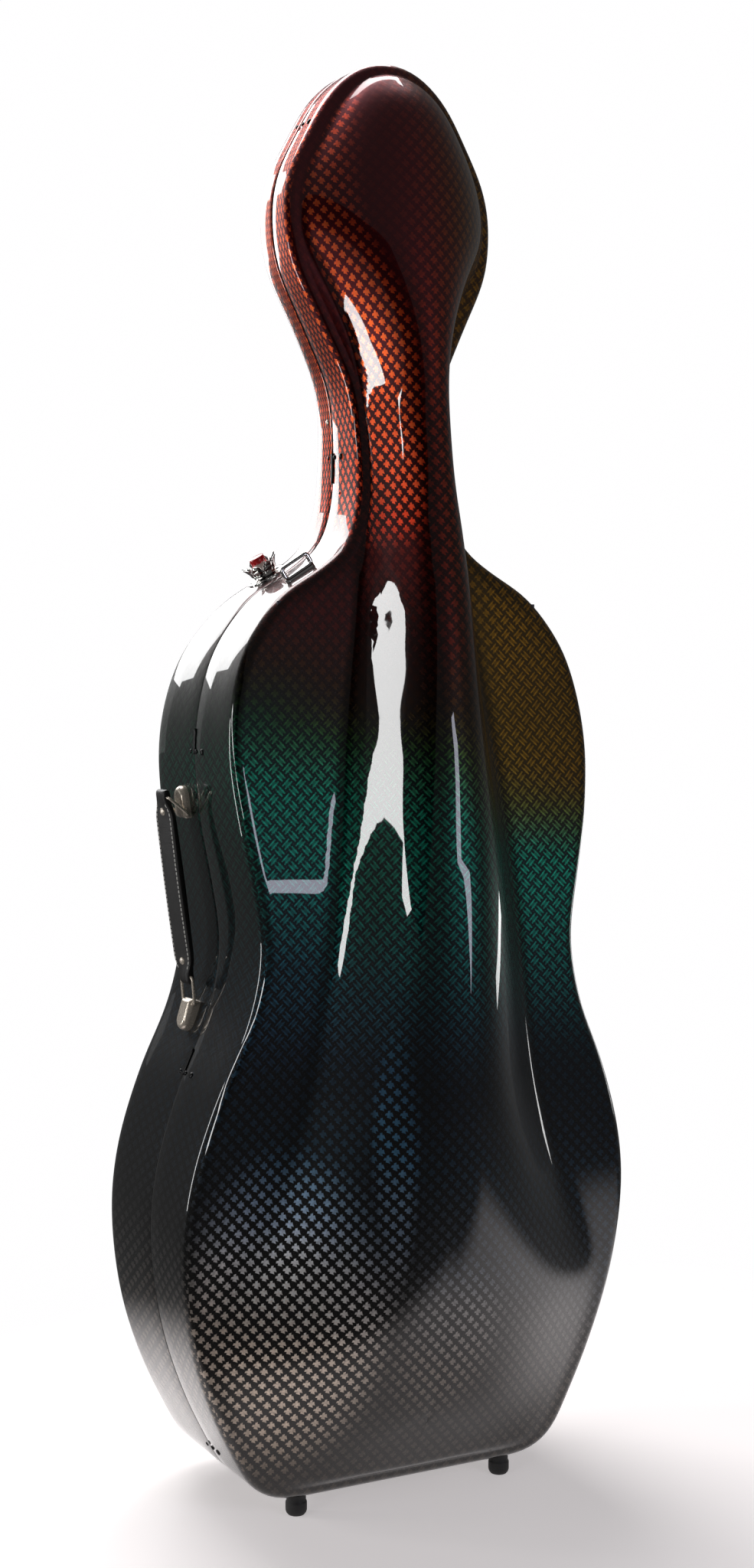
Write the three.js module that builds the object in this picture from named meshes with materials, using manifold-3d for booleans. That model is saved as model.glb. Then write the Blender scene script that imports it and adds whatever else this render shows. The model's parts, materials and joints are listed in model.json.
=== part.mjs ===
// Cello hard case: two moulded shells on a slanted hinge line, a central lock with five claws,
// a carrying handle on wire loops, four feet, and the padding that holds the instrument.
// Millimetres. +Z up, the lid faces -Y, the hinges are on the +X side.
import * as THREE from 'three';
import { mergeVertices } from 'three/addons/utils/BufferGeometryUtils.js';
import Module from 'manifold-3d';

const wasm = await Module();
wasm.setup();

// Outline of the shells, seen from the front
const footHeight = 20;
const caseTop = 1335;
const headWideHeight = 1190;
const headHalfWidth = 107;
const neckHeight = 960;
const neckHalfWidth = 45;
const upperBoutHeight = 705;
const upperBoutHalfWidth = 186;
const waistHeight = 525;
const waistHalfWidth = 162;
const lowerBoutHeight = 270;
const lowerBoutHalfWidth = 232;
const bottomFlatHalfWidth = 120;
const bottomCornerRadius = 55;
const bottomCornerLean = THREE.MathUtils.degToRad(25.3);

// Depths of the shells, measured from the seam plane
const lidDepth = 98;
const baseDepth = 132;
const ridgeHeight = 82;
const ridgeHalfWidth = 108;
const ridgeRoundness = 2.4;
const backCrown = 12;
const lidEdgeRadius = 10;
const baseEdgeRadius = 36;
const baseEdgeWidthShare = 0.5;

// Walls and clearances
const wall = 3;
const seat = 0.3;
const seamGap = 1.8;
const gasketThickness = seamGap - 2 * seat;
const liningGap = 0.5;
const padGap = 0.7;
const liningThickness = 4;
const rimBand = 23;
const cutOverrun = 6;
const farReach = 400;

// Hinges
const hingeStand = 5;
const hingeLength = 56;
const knuckleRadius = 3.4;
const knuckleGap = 0.4;
const hingeBore = 1.6;
const pinRadius = 1.3;
const pinHeadRadius = 2.6;
const pinHeadHeight = 1.2;
const leafThickness = 1.6;
const leafStart = 2;
const leafWidth = 20;
const leafSink = 6;
const webStart = 1;

// Latch stations: heights, and rows to both sides of the seam
const latchStations = [
  ['head', 1276], ['neck', 975], ['upper_bout', 704], ['lower_bout', 411], ['bottom', 58],
];
const clawRow = 8;
const keeperRow = 17;
const clawBossGap = 1.2;
const clawBossHeight = 2.1;
const clawThickness = 3;
const clawHub = 4.5;
const clawInner = 15;
const clawOuter = 19;
const clawTipAngle = 30;
const clawArmAngle = 54;
const clawBackAngle = 78;
const clawRivetShank = 1.2;
const clawRivetHead = 2;
const clawRivetHeight = 1.1;
const clawRivetTail = 2.6;
const tailHeight = 1;
const keeperHalfWidth = 6;
const keeperStart = 1.5;
const keeperEnd = 21;
const keeperThickness = 1.4;
const keeperPinRadius = 1.5;
const keeperPinOffset = 5;
const keeperPinReach = 6;
const keeperRivetShank = 1.4;
const keeperRivetHead = 2.8;
const keeperRivetHeight = 1.3;
const keeperRivetTail = 2.4;
const rivetShoulderShare = 0.7;

// Bars over the seam: name, height of the station, and the bar's ends down the wall from it
const seamGuides = [['neck', 975, -4, 24], ['upper_bout', 704, -21, 2], ['lower_bout', 411, -21, 2]];
const guideWidth = 4.5;
const guideHeight = 1;
const guideSink = 3;

// Central lock
const lockHeight = 865;
const lockDepth = 32;
const plateRadius = 20;
const plateHeight = 1.5;
const plateSink = 6;
const spindleRadius = 5;
const spindleClearance = 0.6;
const camRadius = 9;
const camThickness = 3;
const housingRadius = 16;
const housingDepth = 14;
const housingWall = 1.5;
const pocketClearance = 1.5;
const knobBottom = plateHeight + seat;
const knobFloor = 3;
const knobDishRadius = 12.4;
const knobDishTop = 6;
const knobRadius = 19.4;
const knobTop = 16.5;
const knobBore = 8.2;
const petalShares = [
  [0.06, 0.45, 0.62, 0.21], [0.5, 0.52, 0.69, 0.25], [0.8, 0.67, 0.83, 0.22], [1, 0.89, 1, 0.08],
];
const buttonBottom = 6.3;
const buttonClearance = 0.5;
const buttonGuideTop = 10;
const buttonStem = 5.6;
const buttonCapBottom = 15;
const buttonCap = 7.5;
const buttonTop = 21;
const buttonRounding = 1;

// Strap loop
const strapLoopHeight = 865;
const strapLoopDepth = 40;
const strapLoopLength = 33;
const strapLoopTop = 15.3;
const strapLoopWidth = 5;
const strapLoopCorner = 4;
const strapLoopSink = 8;
const strapSlotLength = 26;
const strapSlotBottom = 4;
const strapSlotHeight = 7.8;

// Carrying handle
const handleDepth = 29;
const upperBracketHeight = 657;
const lowerBracketHeight = 458;
const bracketLength = 30;
const bracketWidth = 20;
const bracketHeight = 9;
const bracketSink = 5;
const bracketPivotOffset = 11;
const bracketPivotHeight = 4.5;
const bracketClearance = 0.4;
const bracketShares = [[0.6, 1], [0.88, 0.84], [1, 0.5]];
const wireRadius = 1.4;
const loopLength = 25;
const loopWidth = 26;
const loopCorner = 3;
const upperLoopLean = THREE.MathUtils.degToRad(51);
const lowerLoopLean = THREE.MathUtils.degToRad(5);
const gripWidth = 20;
const gripThickness = 9;
const gripEnd = 7;
const eyeClearance = 0.5;
const slotReach = 5.6;

// Feet: name, distance from the middle, and place along the depth
const footPlaces = [
  ['front_left', -109, -50], ['front_right', 109, -50], ['rear_left', -109, 84], ['rear_right', 109, 84],
];
const footRadius = 10;
const footTopRadius = 9;
const footFaceRadius = 7;
const footBulgeHeight = 4;
const footShoulderHeight = 12;

// Padding in the base, and the instrument that it holds
const padFace = 26;
const instrumentUpperRadius = 172;
const instrumentUpperHeight = 655;
const instrumentLowerRadius = 222;
const instrumentLowerHeight = 320;
const neckChannelRadius = 15;
const cradleLow = 980;
const cradleHigh = 1020;
const upperBolsterStart = 62;
const upperBolsterLow = 745;
const upperBolsterHigh = 860;
const lowerBolsterStart = 110;
const lowerBolsterLow = 112;
const lowerBolsterHigh = 205;
const bottomBolsterHalf = 70;
const bottomBolsterTop = 112;
const endpinHoleRadius = 12;
const endpinDepth = 76;

// Bow places in the lid
const pocketPlace = 120;
const pocketLow = 780;
const pocketWidth = 30;
const pocketHeight = 60;
const pocketDepth = 16;
const pocketWall = 2;
const clipPlace = 140;
const clipHeight = 200;
const clipBossRadius = 12;
const clipBossRise = 6;
const clipHub = 8;
const clipHubRise = 2;
const clipThickness = 7;
const clipArm = 30;
const clipArmWidth = 11;

// Shares of the stretch between two named stations: [width share, height share]
const crownShares = [[0, 1], [0.25, 0.965], [0.54, 0.8], [0.79, 0.5], [0.93, 0.3], [0.99, 0.13]];
const headToNeckShares = [[0.92, 0.82], [0.47, 0.565], [0.07, 0.326], [0, 0.11]];
const neckToBoutShares = [
  [0.01, 0.902], [0.106, 0.737], [0.331, 0.639], [0.57, 0.561],
  [0.725, 0.471], [0.866, 0.353], [0.958, 0.196],
];
const boutToWaistShares = [[0.76, 0.639], [0.28, 0.306]];
const waistToBoutShares = [[0.17, 0.765], [0.58, 0.51], [0.9, 0.235]];
const boutToCornerShares = [[0.86, 0.62], [0.49, 0.286]];

// Shares along the height of the shell, from the bottom: [height share, value share]
const lidDepthShares = [
  [0, 0.7], [0.08, 0.72], [0.24, 0.9], [0.42, 1], [0.56, 0.8],
  [0.67, 0.67], [0.78, 0.45], [0.9, 0.35], [1, 0.34],
];
const baseDepthShares = [
  [0, 1], [0.08, 0.97], [0.24, 0.95], [0.42, 0.9], [0.52, 0.87], [0.58, 0.78],
  [0.63, 0.6], [0.67, 0.44], [0.72, 0.37], [0.78, 0.34], [0.9, 0.4], [1, 0.32],
];
const ridgeHeightShares = [
  [0, 0], [0.025, 0.2], [0.07, 0.55], [0.15, 0.8], [0.25, 0.87], [0.36, 0.9], [0.47, 0.96], [0.54, 1],
  [0.61, 0.98], [0.68, 0.88], [0.75, 0.88], [0.82, 0.93], [0.88, 0.88], [0.94, 0.68], [0.975, 0.38], [0.991, 0],
];
const ridgeWidthShares = [
  [0, 2.2], [0.1, 2.1], [0.15, 1.85], [0.21, 1.5], [0.29, 1.15], [0.36, 1], [0.44, 0.86], [0.52, 0.72],
  [0.58, 0.58], [0.63, 0.48], [0.68, 0.38], [0.74, 0.335], [0.79, 0.36], [0.83, 0.56], [0.87, 0.85], [0.9, 1.1],
  [1, 1.2],
];
const ridgeSoftnessShares = [
  [0, 1.2], [0.1, 1.5], [0.22, 1.6], [0.5, 1.6], [0.6, 1.2],
  [0.66, 0.85], [0.74, 0.8], [0.8, 0.85], [0.86, 1], [1, 1],
];
const backCrownShares = [
  [0, 0], [0.08, 0.7], [0.2, 1], [0.6, 1], [0.75, 0.6], [0.9, 0.7], [0.97, 0.3], [1, 0],
];

// How finely the shells are divided
const splineSteps = 26;
const cornerSteps = 4;
const bottomSteps = 3;
const edgeSteps = 2;
const outsideRidgeShares = [1];
const insideRidgeShares = [0.16, 0.38, 0.66, 1];
const ridgeEdgeShareLimits = [0.07, 0.62];
const spineSqueezeShare = 0.9;
const spineEndShare = 0.05;
const minimumMitre = 0.5;

// How finely the small pieces are divided
const knuckleCount = 5;
const petalCount = 8;
const supportPasses = 4;
const pinSides = 8;
const boltSides = 14;
const crownSides = 20;
const channelSides = 12;
const clipSides = 20;
const footSides = 18;
const bodySides = 48;
const wireSides = 8;
const loopCornerSteps = 2;
const bracketEndSteps = 8;
const gripEndSteps = 5;
const guideEndSteps = 4;
const clipEndSteps = 5;
const cornerArcSteps = 3;

const colours = {
  laminate: 0x1c2422, lining: 0x2b2b30, rubber: 0x151515, steel: 0xb9babc, blackMetal: 0x1a1a1c,
  chrome: 0xd8d6d2, nickel: 0xb8afa6, red: 0xd0242a, leather: 0x17130f, foam: 0x3a3a40,
};

const finishes = {
  shell: { color: colours.laminate, roughness: 0.08, metalness: 0.4 },
  lining: { color: colours.lining, roughness: 0.95, metalness: 0 },
  rubber: { color: colours.rubber, roughness: 0.75, metalness: 0 },
  steel: { color: colours.steel, roughness: 0.3, metalness: 1 },
  blackMetal: { color: colours.blackMetal, roughness: 0.4, metalness: 0.6 },
  chrome: { color: colours.chrome, roughness: 0.08, metalness: 1 },
  nickel: { color: colours.nickel, roughness: 0.35, metalness: 1 },
  red: { color: colours.red, roughness: 0.3, metalness: 0 },
  leather: { color: colours.leather, roughness: 0.55, metalness: 0 },
  foam: { color: colours.foam, roughness: 0.95, metalness: 0 },
};

const model = new THREE.Group();

function add(name, solid, finish) {
  const mesh = new THREE.Mesh(toGeometry(solid), new THREE.MeshStandardMaterial(finishes[finish]));
  mesh.name = name;
  model.add(mesh);
  return mesh;
}

// Solids
function toSolid(geometry) {
  const bare = geometry.clone();
  bare.deleteAttribute('normal');
  bare.deleteAttribute('uv');
  const welded = mergeVertices(bare);
  const place = welded.attributes.position;
  const pointAt = (_, i) => new THREE.Vector3().fromBufferAttribute(place, i);
  const points = Array.from({ length: place.count }, pointAt);
  const index = Array.from(welded.index.array);
  const faces = [];
  for (let i = 0; i < index.length; i += 3) {
    const [a, b, c] = index.slice(i, i + 3);
    if (a !== b && b !== c && c !== a) faces.push([a, b, c]);
  }
  const outward = signedVolume(points, faces) > 0;
  const triVerts = new Uint32Array(faces.flatMap(([a, b, c]) => (outward ? [a, b, c] : [a, c, b])));
  const vertProperties = new Float32Array(place.array);
  return new wasm.Manifold(new wasm.Mesh({ numProp: 3, vertProperties, triVerts }));
}

function toGeometry(shape) {
  const mesh = asSolid(shape).getMesh();
  const geometry = new THREE.BufferGeometry();
  geometry.setAttribute('position', new THREE.BufferAttribute(new Float32Array(mesh.vertProperties), 3));
  geometry.setIndex([...mesh.triVerts]);
  geometry.computeVertexNormals();
  return geometry;
}

function signedVolume(points, faces) {
  let sum = 0;
  const cross = new THREE.Vector3();
  for (const [a, b, c] of faces) sum += points[a].dot(cross.crossVectors(points[b], points[c]));
  return sum / 6;
}

function facedSolid(points, faces) {
  const outward = signedVolume(points, faces) > 0;
  const ordered = outward ? faces : faces.map(([a, b, c]) => [a, c, b]);
  const geometry = new THREE.BufferGeometry();
  geometry.setAttribute('position', new THREE.Float32BufferAttribute(points.flatMap((p) => p.toArray()), 3));
  geometry.setIndex(ordered.flat());
  geometry.computeVertexNormals();
  return geometry;
}

const asSolid = (shape) => (shape.isBufferGeometry ? toSolid(shape) : shape);

function joined(...shapes) {
  return shapes.map(asSolid).reduce((all, next) => all.add(next));
}

function cut(body, ...tools) {
  return tools.map(asSolid).reduce((all, next) => all.subtract(next), asSolid(body));
}

function common(body, tool) {
  return asSolid(body).intersect(asSolid(tool));
}

// Simple shapes
function rod(radius, from, to, sides, x = 0, y = 0) {
  const shape = new THREE.CylinderGeometry(radius, radius, to - from, sides);
  return shape.rotateX(Math.PI / 2).translate(x, y, (from + to) / 2);
}

function block([x0, x1], [y0, y1], [z0, z1]) {
  const box = new THREE.BoxGeometry(x1 - x0, y1 - y0, z1 - z0);
  return box.translate((x0 + x1) / 2, (y0 + y1) / 2, (z0 + z1) / 2);
}

function plate(shape, from, to) {
  const settings = { depth: to - from, bevelEnabled: false, curveSegments: cornerArcSteps };
  return new THREE.ExtrudeGeometry(shape, settings).translate(0, 0, from);
}

function turned(profile, sides) {
  const points = profile.map(([r, z]) => new THREE.Vector2(r, z));
  return new THREE.LatheGeometry(points, sides).rotateX(Math.PI / 2);
}

function stadium(from, to, radius, steps) {
  const points = [];
  for (const [x, start] of [[to, -Math.PI / 2], [from, Math.PI / 2]]) {
    for (let i = 0; i <= steps; i += 1) {
      const turn = start + (Math.PI * i) / steps;
      points.push(new THREE.Vector2(x + radius * Math.cos(turn), radius * Math.sin(turn)));
    }
  }
  return new THREE.Shape(points);
}

function rectanglePath([x0, x1], [y0, y1]) {
  return new THREE.Path([[x0, y0], [x0, y1], [x1, y1], [x1, y0]].map((p) => new THREE.Vector2(...p)));
}

function roundedRectangle([x0, x1], [y0, y1], radius) {
  const shape = new THREE.Shape();
  shape.moveTo(x0, y0);
  shape.lineTo(x1, y0);
  shape.lineTo(x1, y1 - radius);
  shape.absarc(x1 - radius, y1 - radius, radius, 0, Math.PI / 2);
  shape.absarc(x0 + radius, y1 - radius, radius, Math.PI / 2, Math.PI);
  return shape;
}

// A solid over a stack of rings that have as many points each
function loft(rings) {
  const count = rings[0].length;
  const points = rings.flat();
  const faces = [];
  for (let k = 0; k < rings.length - 1; k += 1) {
    for (let i = 0; i < count; i += 1) {
      const next = (i + 1) % count;
      const [a, b, c, d] = [k * count + i, k * count + next, (k + 1) * count + i, (k + 1) * count + next];
      faces.push([a, b, d], [a, d, c]);
    }
  }
  const top = (rings.length - 1) * count;
  for (let i = 1; i < count - 1; i += 1) {
    faces.push([0, i + 1, i], [top, top + i, top + i + 1]);
  }
  return facedSolid(points, faces);
}

// A closed ring of equal sections; each section is a loop of points
function sectionRing(sections) {
  const count = sections[0].length;
  const faces = [];
  sections.forEach((_, k) => {
    const after = (k + 1) % sections.length;
    for (let i = 0; i < count; i += 1) {
      const next = (i + 1) % count;
      const [a, b, c, d] = [k * count + i, k * count + next, after * count + i, after * count + next];
      faces.push([a, b, d], [a, d, c]);
    }
  });
  return facedSolid(sections.flat(), faces);
}

// A round wire along a closed flat path, with mitred sections
function ringTube(path, radius, sides) {
  const sections = path.map((p, i) => {
    const from = p.clone().sub(path[(i + path.length - 1) % path.length]).normalize();
    const to = path[(i + 1) % path.length].clone().sub(p).normalize();
    const across = new THREE.Vector2(from.y + to.y, -from.x - to.x).normalize();
    const mitre = 1 / Math.sqrt((1 + from.dot(to)) / 2);
    return Array.from({ length: sides }, (_, k) => {
      const turn = (2 * Math.PI * k) / sides;
      const out = radius * mitre * Math.cos(turn);
      return new THREE.Vector3(p.x + across.x * out, p.y + across.y * out, radius * Math.sin(turn));
    });
  });
  return sectionRing(sections);
}

// Curves through tables of shares
function shareCurve(table) {
  const slopes = table.map((_, i) => {
    const before = table[Math.max(i - 1, 0)];
    const after = table[Math.min(i + 1, table.length - 1)];
    return (after[1] - before[1]) / (after[0] - before[0]);
  });
  return (share) => {
    const s = THREE.MathUtils.clamp(share, table[0][0], table.at(-1)[0]);
    const i = Math.min(Math.max(table.findIndex((row) => row[0] >= s), 1), table.length - 1) - 1;
    const span = table[i + 1][0] - table[i][0];
    const t = (s - table[i][0]) / span;
    const h1 = 2 * t ** 3 - 3 * t ** 2 + 1;
    const h2 = t ** 3 - 2 * t ** 2 + t;
    const h3 = 3 * t ** 2 - 2 * t ** 3;
    const h4 = t ** 3 - t ** 2;
    return h1 * table[i][1] + h2 * span * slopes[i] + h3 * table[i + 1][1] + h4 * span * slopes[i + 1];
  };
}

const heightShare = (z) => (z - footHeight) / (caseTop - footHeight);
const lidDepthCurve = shareCurve(lidDepthShares);
const baseDepthCurve = shareCurve(baseDepthShares);
const ridgeHeightCurve = shareCurve(ridgeHeightShares);
const ridgeWidthCurve = shareCurve(ridgeWidthShares);
const ridgeSoftnessCurve = shareCurve(ridgeSoftnessShares);
const backCrownCurve = shareCurve(backCrownShares);

// Right half of the outline, from the top of the head to the middle of the bottom
function between(shares, [wideTop, top], [wideLow, low]) {
  return shares.map(([w, h]) => new THREE.Vector2(wideLow + (wideTop - wideLow) * w, low + (top - low) * h));
}

function risingBetween(shares, [wideTop, top], [wideLow, low]) {
  return shares.map(([w, h]) => new THREE.Vector2(wideTop + (wideLow - wideTop) * w, low + (top - low) * h));
}

const head = [headHalfWidth, headWideHeight];
const neck = [neckHalfWidth, neckHeight];
const upperBout = [upperBoutHalfWidth, upperBoutHeight];
const waist = [waistHalfWidth, waistHeight];
const lowerBout = [lowerBoutHalfWidth, lowerBoutHeight];
const corner = [
  bottomFlatHalfWidth + bottomCornerRadius * Math.cos(bottomCornerLean),
  footHeight + bottomCornerRadius * (1 - Math.sin(bottomCornerLean)),
];

const crownRise = caseTop - headWideHeight;

const outlineStations = [
  ...crownShares.map(([w, h]) => new THREE.Vector2(headHalfWidth * w, headWideHeight + crownRise * h)),
  new THREE.Vector2(...head),
  ...between(headToNeckShares, head, neck),
  new THREE.Vector2(...neck),
  ...risingBetween(neckToBoutShares, neck, upperBout),
  new THREE.Vector2(...upperBout),
  ...between(boutToWaistShares, upperBout, waist),
  new THREE.Vector2(...waist),
  ...risingBetween(waistToBoutShares, waist, lowerBout),
  new THREE.Vector2(...lowerBout),
  ...between(boutToCornerShares, lowerBout, corner),
  new THREE.Vector2(...corner),
];

function outlineHalf() {
  const mirrored = outlineStations[1].clone().setX(-outlineStations[1].x);
  const stations = [mirrored, ...outlineStations].map((p) => new THREE.Vector3(p.x, 0, p.y));
  const curve = new THREE.CatmullRomCurve3(stations, false, 'centripetal');
  const first = 1 / (stations.length - 1);
  const points = [];
  for (let i = 0; i < splineSteps; i += 1) {
    const p = curve.getPoint(first + ((1 - first) * i) / splineSteps);
    points.push(new THREE.Vector2(i === 0 ? 0 : p.x, p.z));
  }
  for (let i = 0; i <= cornerSteps; i += 1) {
    const lean = bottomCornerLean + ((Math.PI / 2 - bottomCornerLean) * i) / cornerSteps;
    const x = bottomFlatHalfWidth + bottomCornerRadius * Math.cos(lean);
    const z = footHeight + bottomCornerRadius * (1 - Math.sin(lean));
    points.push(new THREE.Vector2(x, z));
  }
  for (let i = 1; i <= bottomSteps; i += 1) {
    points.push(new THREE.Vector2(bottomFlatHalfWidth * (1 - i / bottomSteps), footHeight));
  }
  return points;
}

const outline = outlineHalf();
const lastColumn = outline.length - 1;
const columnCount = 2 * lastColumn;

const outlineNormals = outline.map((p, i) => {
  const before = i === 0 ? new THREE.Vector2(-outline[1].x, outline[1].y) : outline[i - 1];
  const after = i === lastColumn ? new THREE.Vector2(-outline[i - 1].x, outline[i - 1].y) : outline[i + 1];
  const a = new THREE.Vector2(before.y - p.y, p.x - before.x).normalize();
  const b = new THREE.Vector2(p.y - after.y, after.x - p.x).normalize();
  const mid = a.clone().add(b).normalize();
  return mid.multiplyScalar(1 / mid.dot(a));
});

// A point of the wall at a height: its column share, place, outward normal and downward tangent
function wallAt(z) {
  const i = outline.findIndex((p) => p.y <= z) - 1;
  const t = (outline[i].y - z) / (outline[i].y - outline[i + 1].y);
  const place = outline[i].clone().lerp(outline[i + 1], t);
  const tangent = outline[i + 1].clone().sub(outline[i]).normalize();
  const normal = new THREE.Vector2(-tangent.y, tangent.x);
  return { column: i + t, x: place.x, z, tangent, normal };
}

const [lowestWall, highestWall] = [outline[lastColumn - bottomSteps - 1].y, outline[1].y];
const halfWidthAt = (z) => wallAt(THREE.MathUtils.clamp(z, lowestWall, highestWall)).x;

const sides = {
  lid: {
    sign: -1,
    depth: (z) => lidDepth * lidDepthCurve(heightShare(z)),
    edge: () => lidEdgeRadius,
    crown: (x, z) => {
      const share = Math.max(1 - Math.abs(x / ridgeHalfAt(z)) ** ridgeRoundness, 0);
      return ridgeHeight * ridgeHeightCurve(heightShare(z)) * share ** ridgeSoftnessCurve(heightShare(z));
    },
  },
  base: {
    sign: 1,
    depth: (z) => baseDepth * baseDepthCurve(heightShare(z)),
    edge: (i) => Math.min(baseEdgeRadius, baseEdgeWidthShare * edgeWidth(i)),
    crown: (x, z) => {
      const share = Math.max(1 - (x / halfWidthAt(z)) ** 2, 0);
      return backCrown * backCrownCurve(heightShare(z)) * share;
    },
  },
};

function ridgeHalfAt(z) {
  const flatHalf = halfWidthAt(z) - lidEdgeRadius;
  return Math.max(Math.min(ridgeHalfWidth * ridgeWidthCurve(heightShare(z)), flatHalf), lidEdgeRadius);
}

function edgeWidth(i) {
  return Math.max(outline[i].x, neckHalfWidth);
}

// Height of the spine point that a column of the grid runs to
function spineHeight(i) {
  const span = caseTop - footHeight;
  const low = footHeight + spineEndShare * span;
  const high = caseTop - spineEndShare * span;
  const evenShare = 1 - i / lastColumn;
  const share = spineSqueezeShare * heightShare(outline[i].y) + (1 - spineSqueezeShare) * evenShare;
  return low + (high - low) * share;
}

// Rows of points over the outside of a shell, from its rim to the spine, for the right half
function skinRows(side, rim) {
  const { sign, depth, edge, crown } = sides[side];
  const columns = outline.map((p, i) => {
    const n = outlineNormals[i];
    const radius = edge(i);
    const floor = depth(p.y);
    const rimDepth = Math.min(rim, floor - radius - seat);
    const column = [new THREE.Vector3(p.x, sign * rimDepth, p.y)];
    for (let k = 0; k <= edgeSteps; k += 1) {
      const turn = (Math.PI / 2) * (k / edgeSteps);
      const inward = radius * (1 - Math.cos(turn));
      const y = floor - radius + radius * Math.sin(turn);
      column.push(new THREE.Vector3(p.x - n.x * inward, sign * y, p.y - n.y * inward));
    }
    const from = column.at(-1);
    const spineZ = spineHeight(i);
    const ridgeStart = THREE.MathUtils.clamp(1 - ridgeHalfAt(p.y) / edgeWidth(i), ...ridgeEdgeShareLimits);
    const steps = [
      ...outsideRidgeShares.map((share) => share * ridgeStart),
      ...insideRidgeShares.map((share) => ridgeStart + share * (1 - ridgeStart)),
    ];
    for (const t of steps) {
      const x = from.x * (1 - t);
      const z = from.z + (spineZ - from.z) * t;
      const raised = depth(z) + crown(x, z);
      const y = floor + (raised - floor) * Math.min(1, t / ridgeEdgeShareLimits[0]);
      column.push(new THREE.Vector3(x, sign * y, z));
    }
    return column;
  });
  return columns[0].map((_, k) => columns.map((column) => column[k]));
}

// The same rows moved inward along their own normals, so that the faces stay parallel
function insetRows(rows, sign, distance) {
  const normalAt = (k, i) => {
    const faces = [];
    const at = (row, column) => {
      if (column < 0) return rows[row][1].clone().setX(-rows[row][1].x);
      if (column > lastColumn) return rows[row][lastColumn - 1].clone().setX(-rows[row][lastColumn - 1].x);
      return rows[row][column];
    };
    for (const [dk, di] of [[-1, -1], [-1, 1], [1, -1], [1, 1]]) {
      if (k + dk < 0 || k + dk >= rows.length) continue;
      const along = at(k + dk, i).clone().sub(rows[k][i]).multiplyScalar(dk);
      const across = at(k, i + di).clone().sub(rows[k][i]).multiplyScalar(di);
      faces.push(along.cross(across).multiplyScalar(sign).normalize());
    }
    const mid = faces.reduce((sum, f) => sum.add(f), new THREE.Vector3()).normalize();
    const mean = faces.reduce((sum, f) => sum + f.dot(mid), 0) / faces.length;
    if (k === 0) mid.setY(0).normalize();
    if (k === rows.length - 1) mid.setX(0).normalize();
    return mid.multiplyScalar(1 / Math.max(mean, minimumMitre));
  };
  return rows.map((row, k) => row.map((p, i) => p.clone().addScaledVector(normalAt(k, i), distance)));
}

// A closed solid from rows over both halves; its first and last rows lie on the spine. Rows before
// the turn run from the spine outward, and their quads take the other diagonal.
function solidFromRows(rows, turn = 0) {
  const points = [];
  const ids = rows.map((row, k) => {
    const onSpine = k === 0 || k === rows.length - 1;
    const right = row.map((p) => points.push(onSpine ? p.clone().setX(0) : p) - 1);
    const left = [];
    for (let i = lastColumn - 1; i > 0; i -= 1) {
      left.push(onSpine ? right[i] : points.push(row[i].clone().setX(-row[i].x)) - 1);
    }
    return [...right, ...left];
  });
  const faces = [];
  for (let k = 0; k < rows.length - 1; k += 1) {
    for (let i = 0; i < columnCount; i += 1) {
      const next = (i + 1) % columnCount;
      const [a, b] = [ids[k][i], ids[k][next]];
      const [c, d] = [ids[k + 1][i], ids[k + 1][next]];
      const flipped = (i >= lastColumn) !== (k < turn);
      const pair = flipped ? [[a, b, c], [b, d, c]] : [[a, b, d], [a, d, c]];
      faces.push(...pair.filter(([p, q, r]) => p !== q && q !== r && p !== r));
    }
  }
  return facedSolid(points, faces);
}

function shellSolid(side, outer, inner, rim) {
  const rows = skinRows(side, rim);
  const { sign } = sides[side];
  const outside = insetRows(rows, sign, outer).reverse();
  return solidFromRows([...outside, ...insetRows(rows, sign, inner)], rows.length - 1);
}

// Everything inside a face that lies at an inset from the outside of a shell
function fullSolid(side, inset, rim) {
  const rows = insetRows(skinRows(side, rim), sides[side].sign, inset);
  const flat = rows[0].map((p, i) => new THREE.Vector3(0, p.y, spineHeight(i)));
  return solidFromRows([flat, ...rows]);
}

const rimAt = seamGap / 2;
const envelope = { base: fullSolid('base', -seat, 0), lid: fullSolid('lid', -seat, 0) };
const inside = { base: fullSolid('base', wall + seat, 0), lid: fullSolid('lid', wall + seat, 0) };
const liningOuter = wall + liningGap;
const liningInner = liningOuter + liningThickness;
const baseCavity = fullSolid('base', liningInner + padGap, rimBand);
const lidCavity = fullSolid('lid', liningInner + padGap, rimBand);
const insideLining = fullSolid('lid', liningOuter, rimBand);

// Holes and pockets that the pieces ask of the shells and linings, gathered as they are placed
const baseShellCuts = [];
const lidShellCuts = [];
const baseLiningCuts = [];

// A group on the left wall: local X runs down the wall, Y toward the lid, Z out of the wall
function leftWallGroup(z, y) {
  const { x, tangent, normal } = wallAt(z);
  const down = new THREE.Vector3(-tangent.x, 0, tangent.y);
  const outward = new THREE.Vector3(-normal.x, 0, normal.y);
  const group = new THREE.Group();
  group.position.set(-x, y, z);
  const basis = new THREE.Matrix4().makeBasis(down, new THREE.Vector3(0, -1, 0), outward);
  group.quaternion.setFromRotationMatrix(basis);
  group.updateMatrixWorld(true);
  model.add(group);
  return group;
}

// The same shape, seen from inside a group
function within(group, geometry) {
  return geometry.clone().applyMatrix4(group.matrixWorld.clone().invert());
}

function seated(group, body, ...names) {
  return cut(body, ...names.map((name) => within(group, envelope[name])));
}

function addTo(group, name, solid, finish) {
  const mesh = add(name, solid, finish);
  group.add(mesh);
  return mesh;
}

function inWorld(group, geometry) {
  return geometry.clone().applyMatrix4(group.matrixWorld);
}

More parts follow.
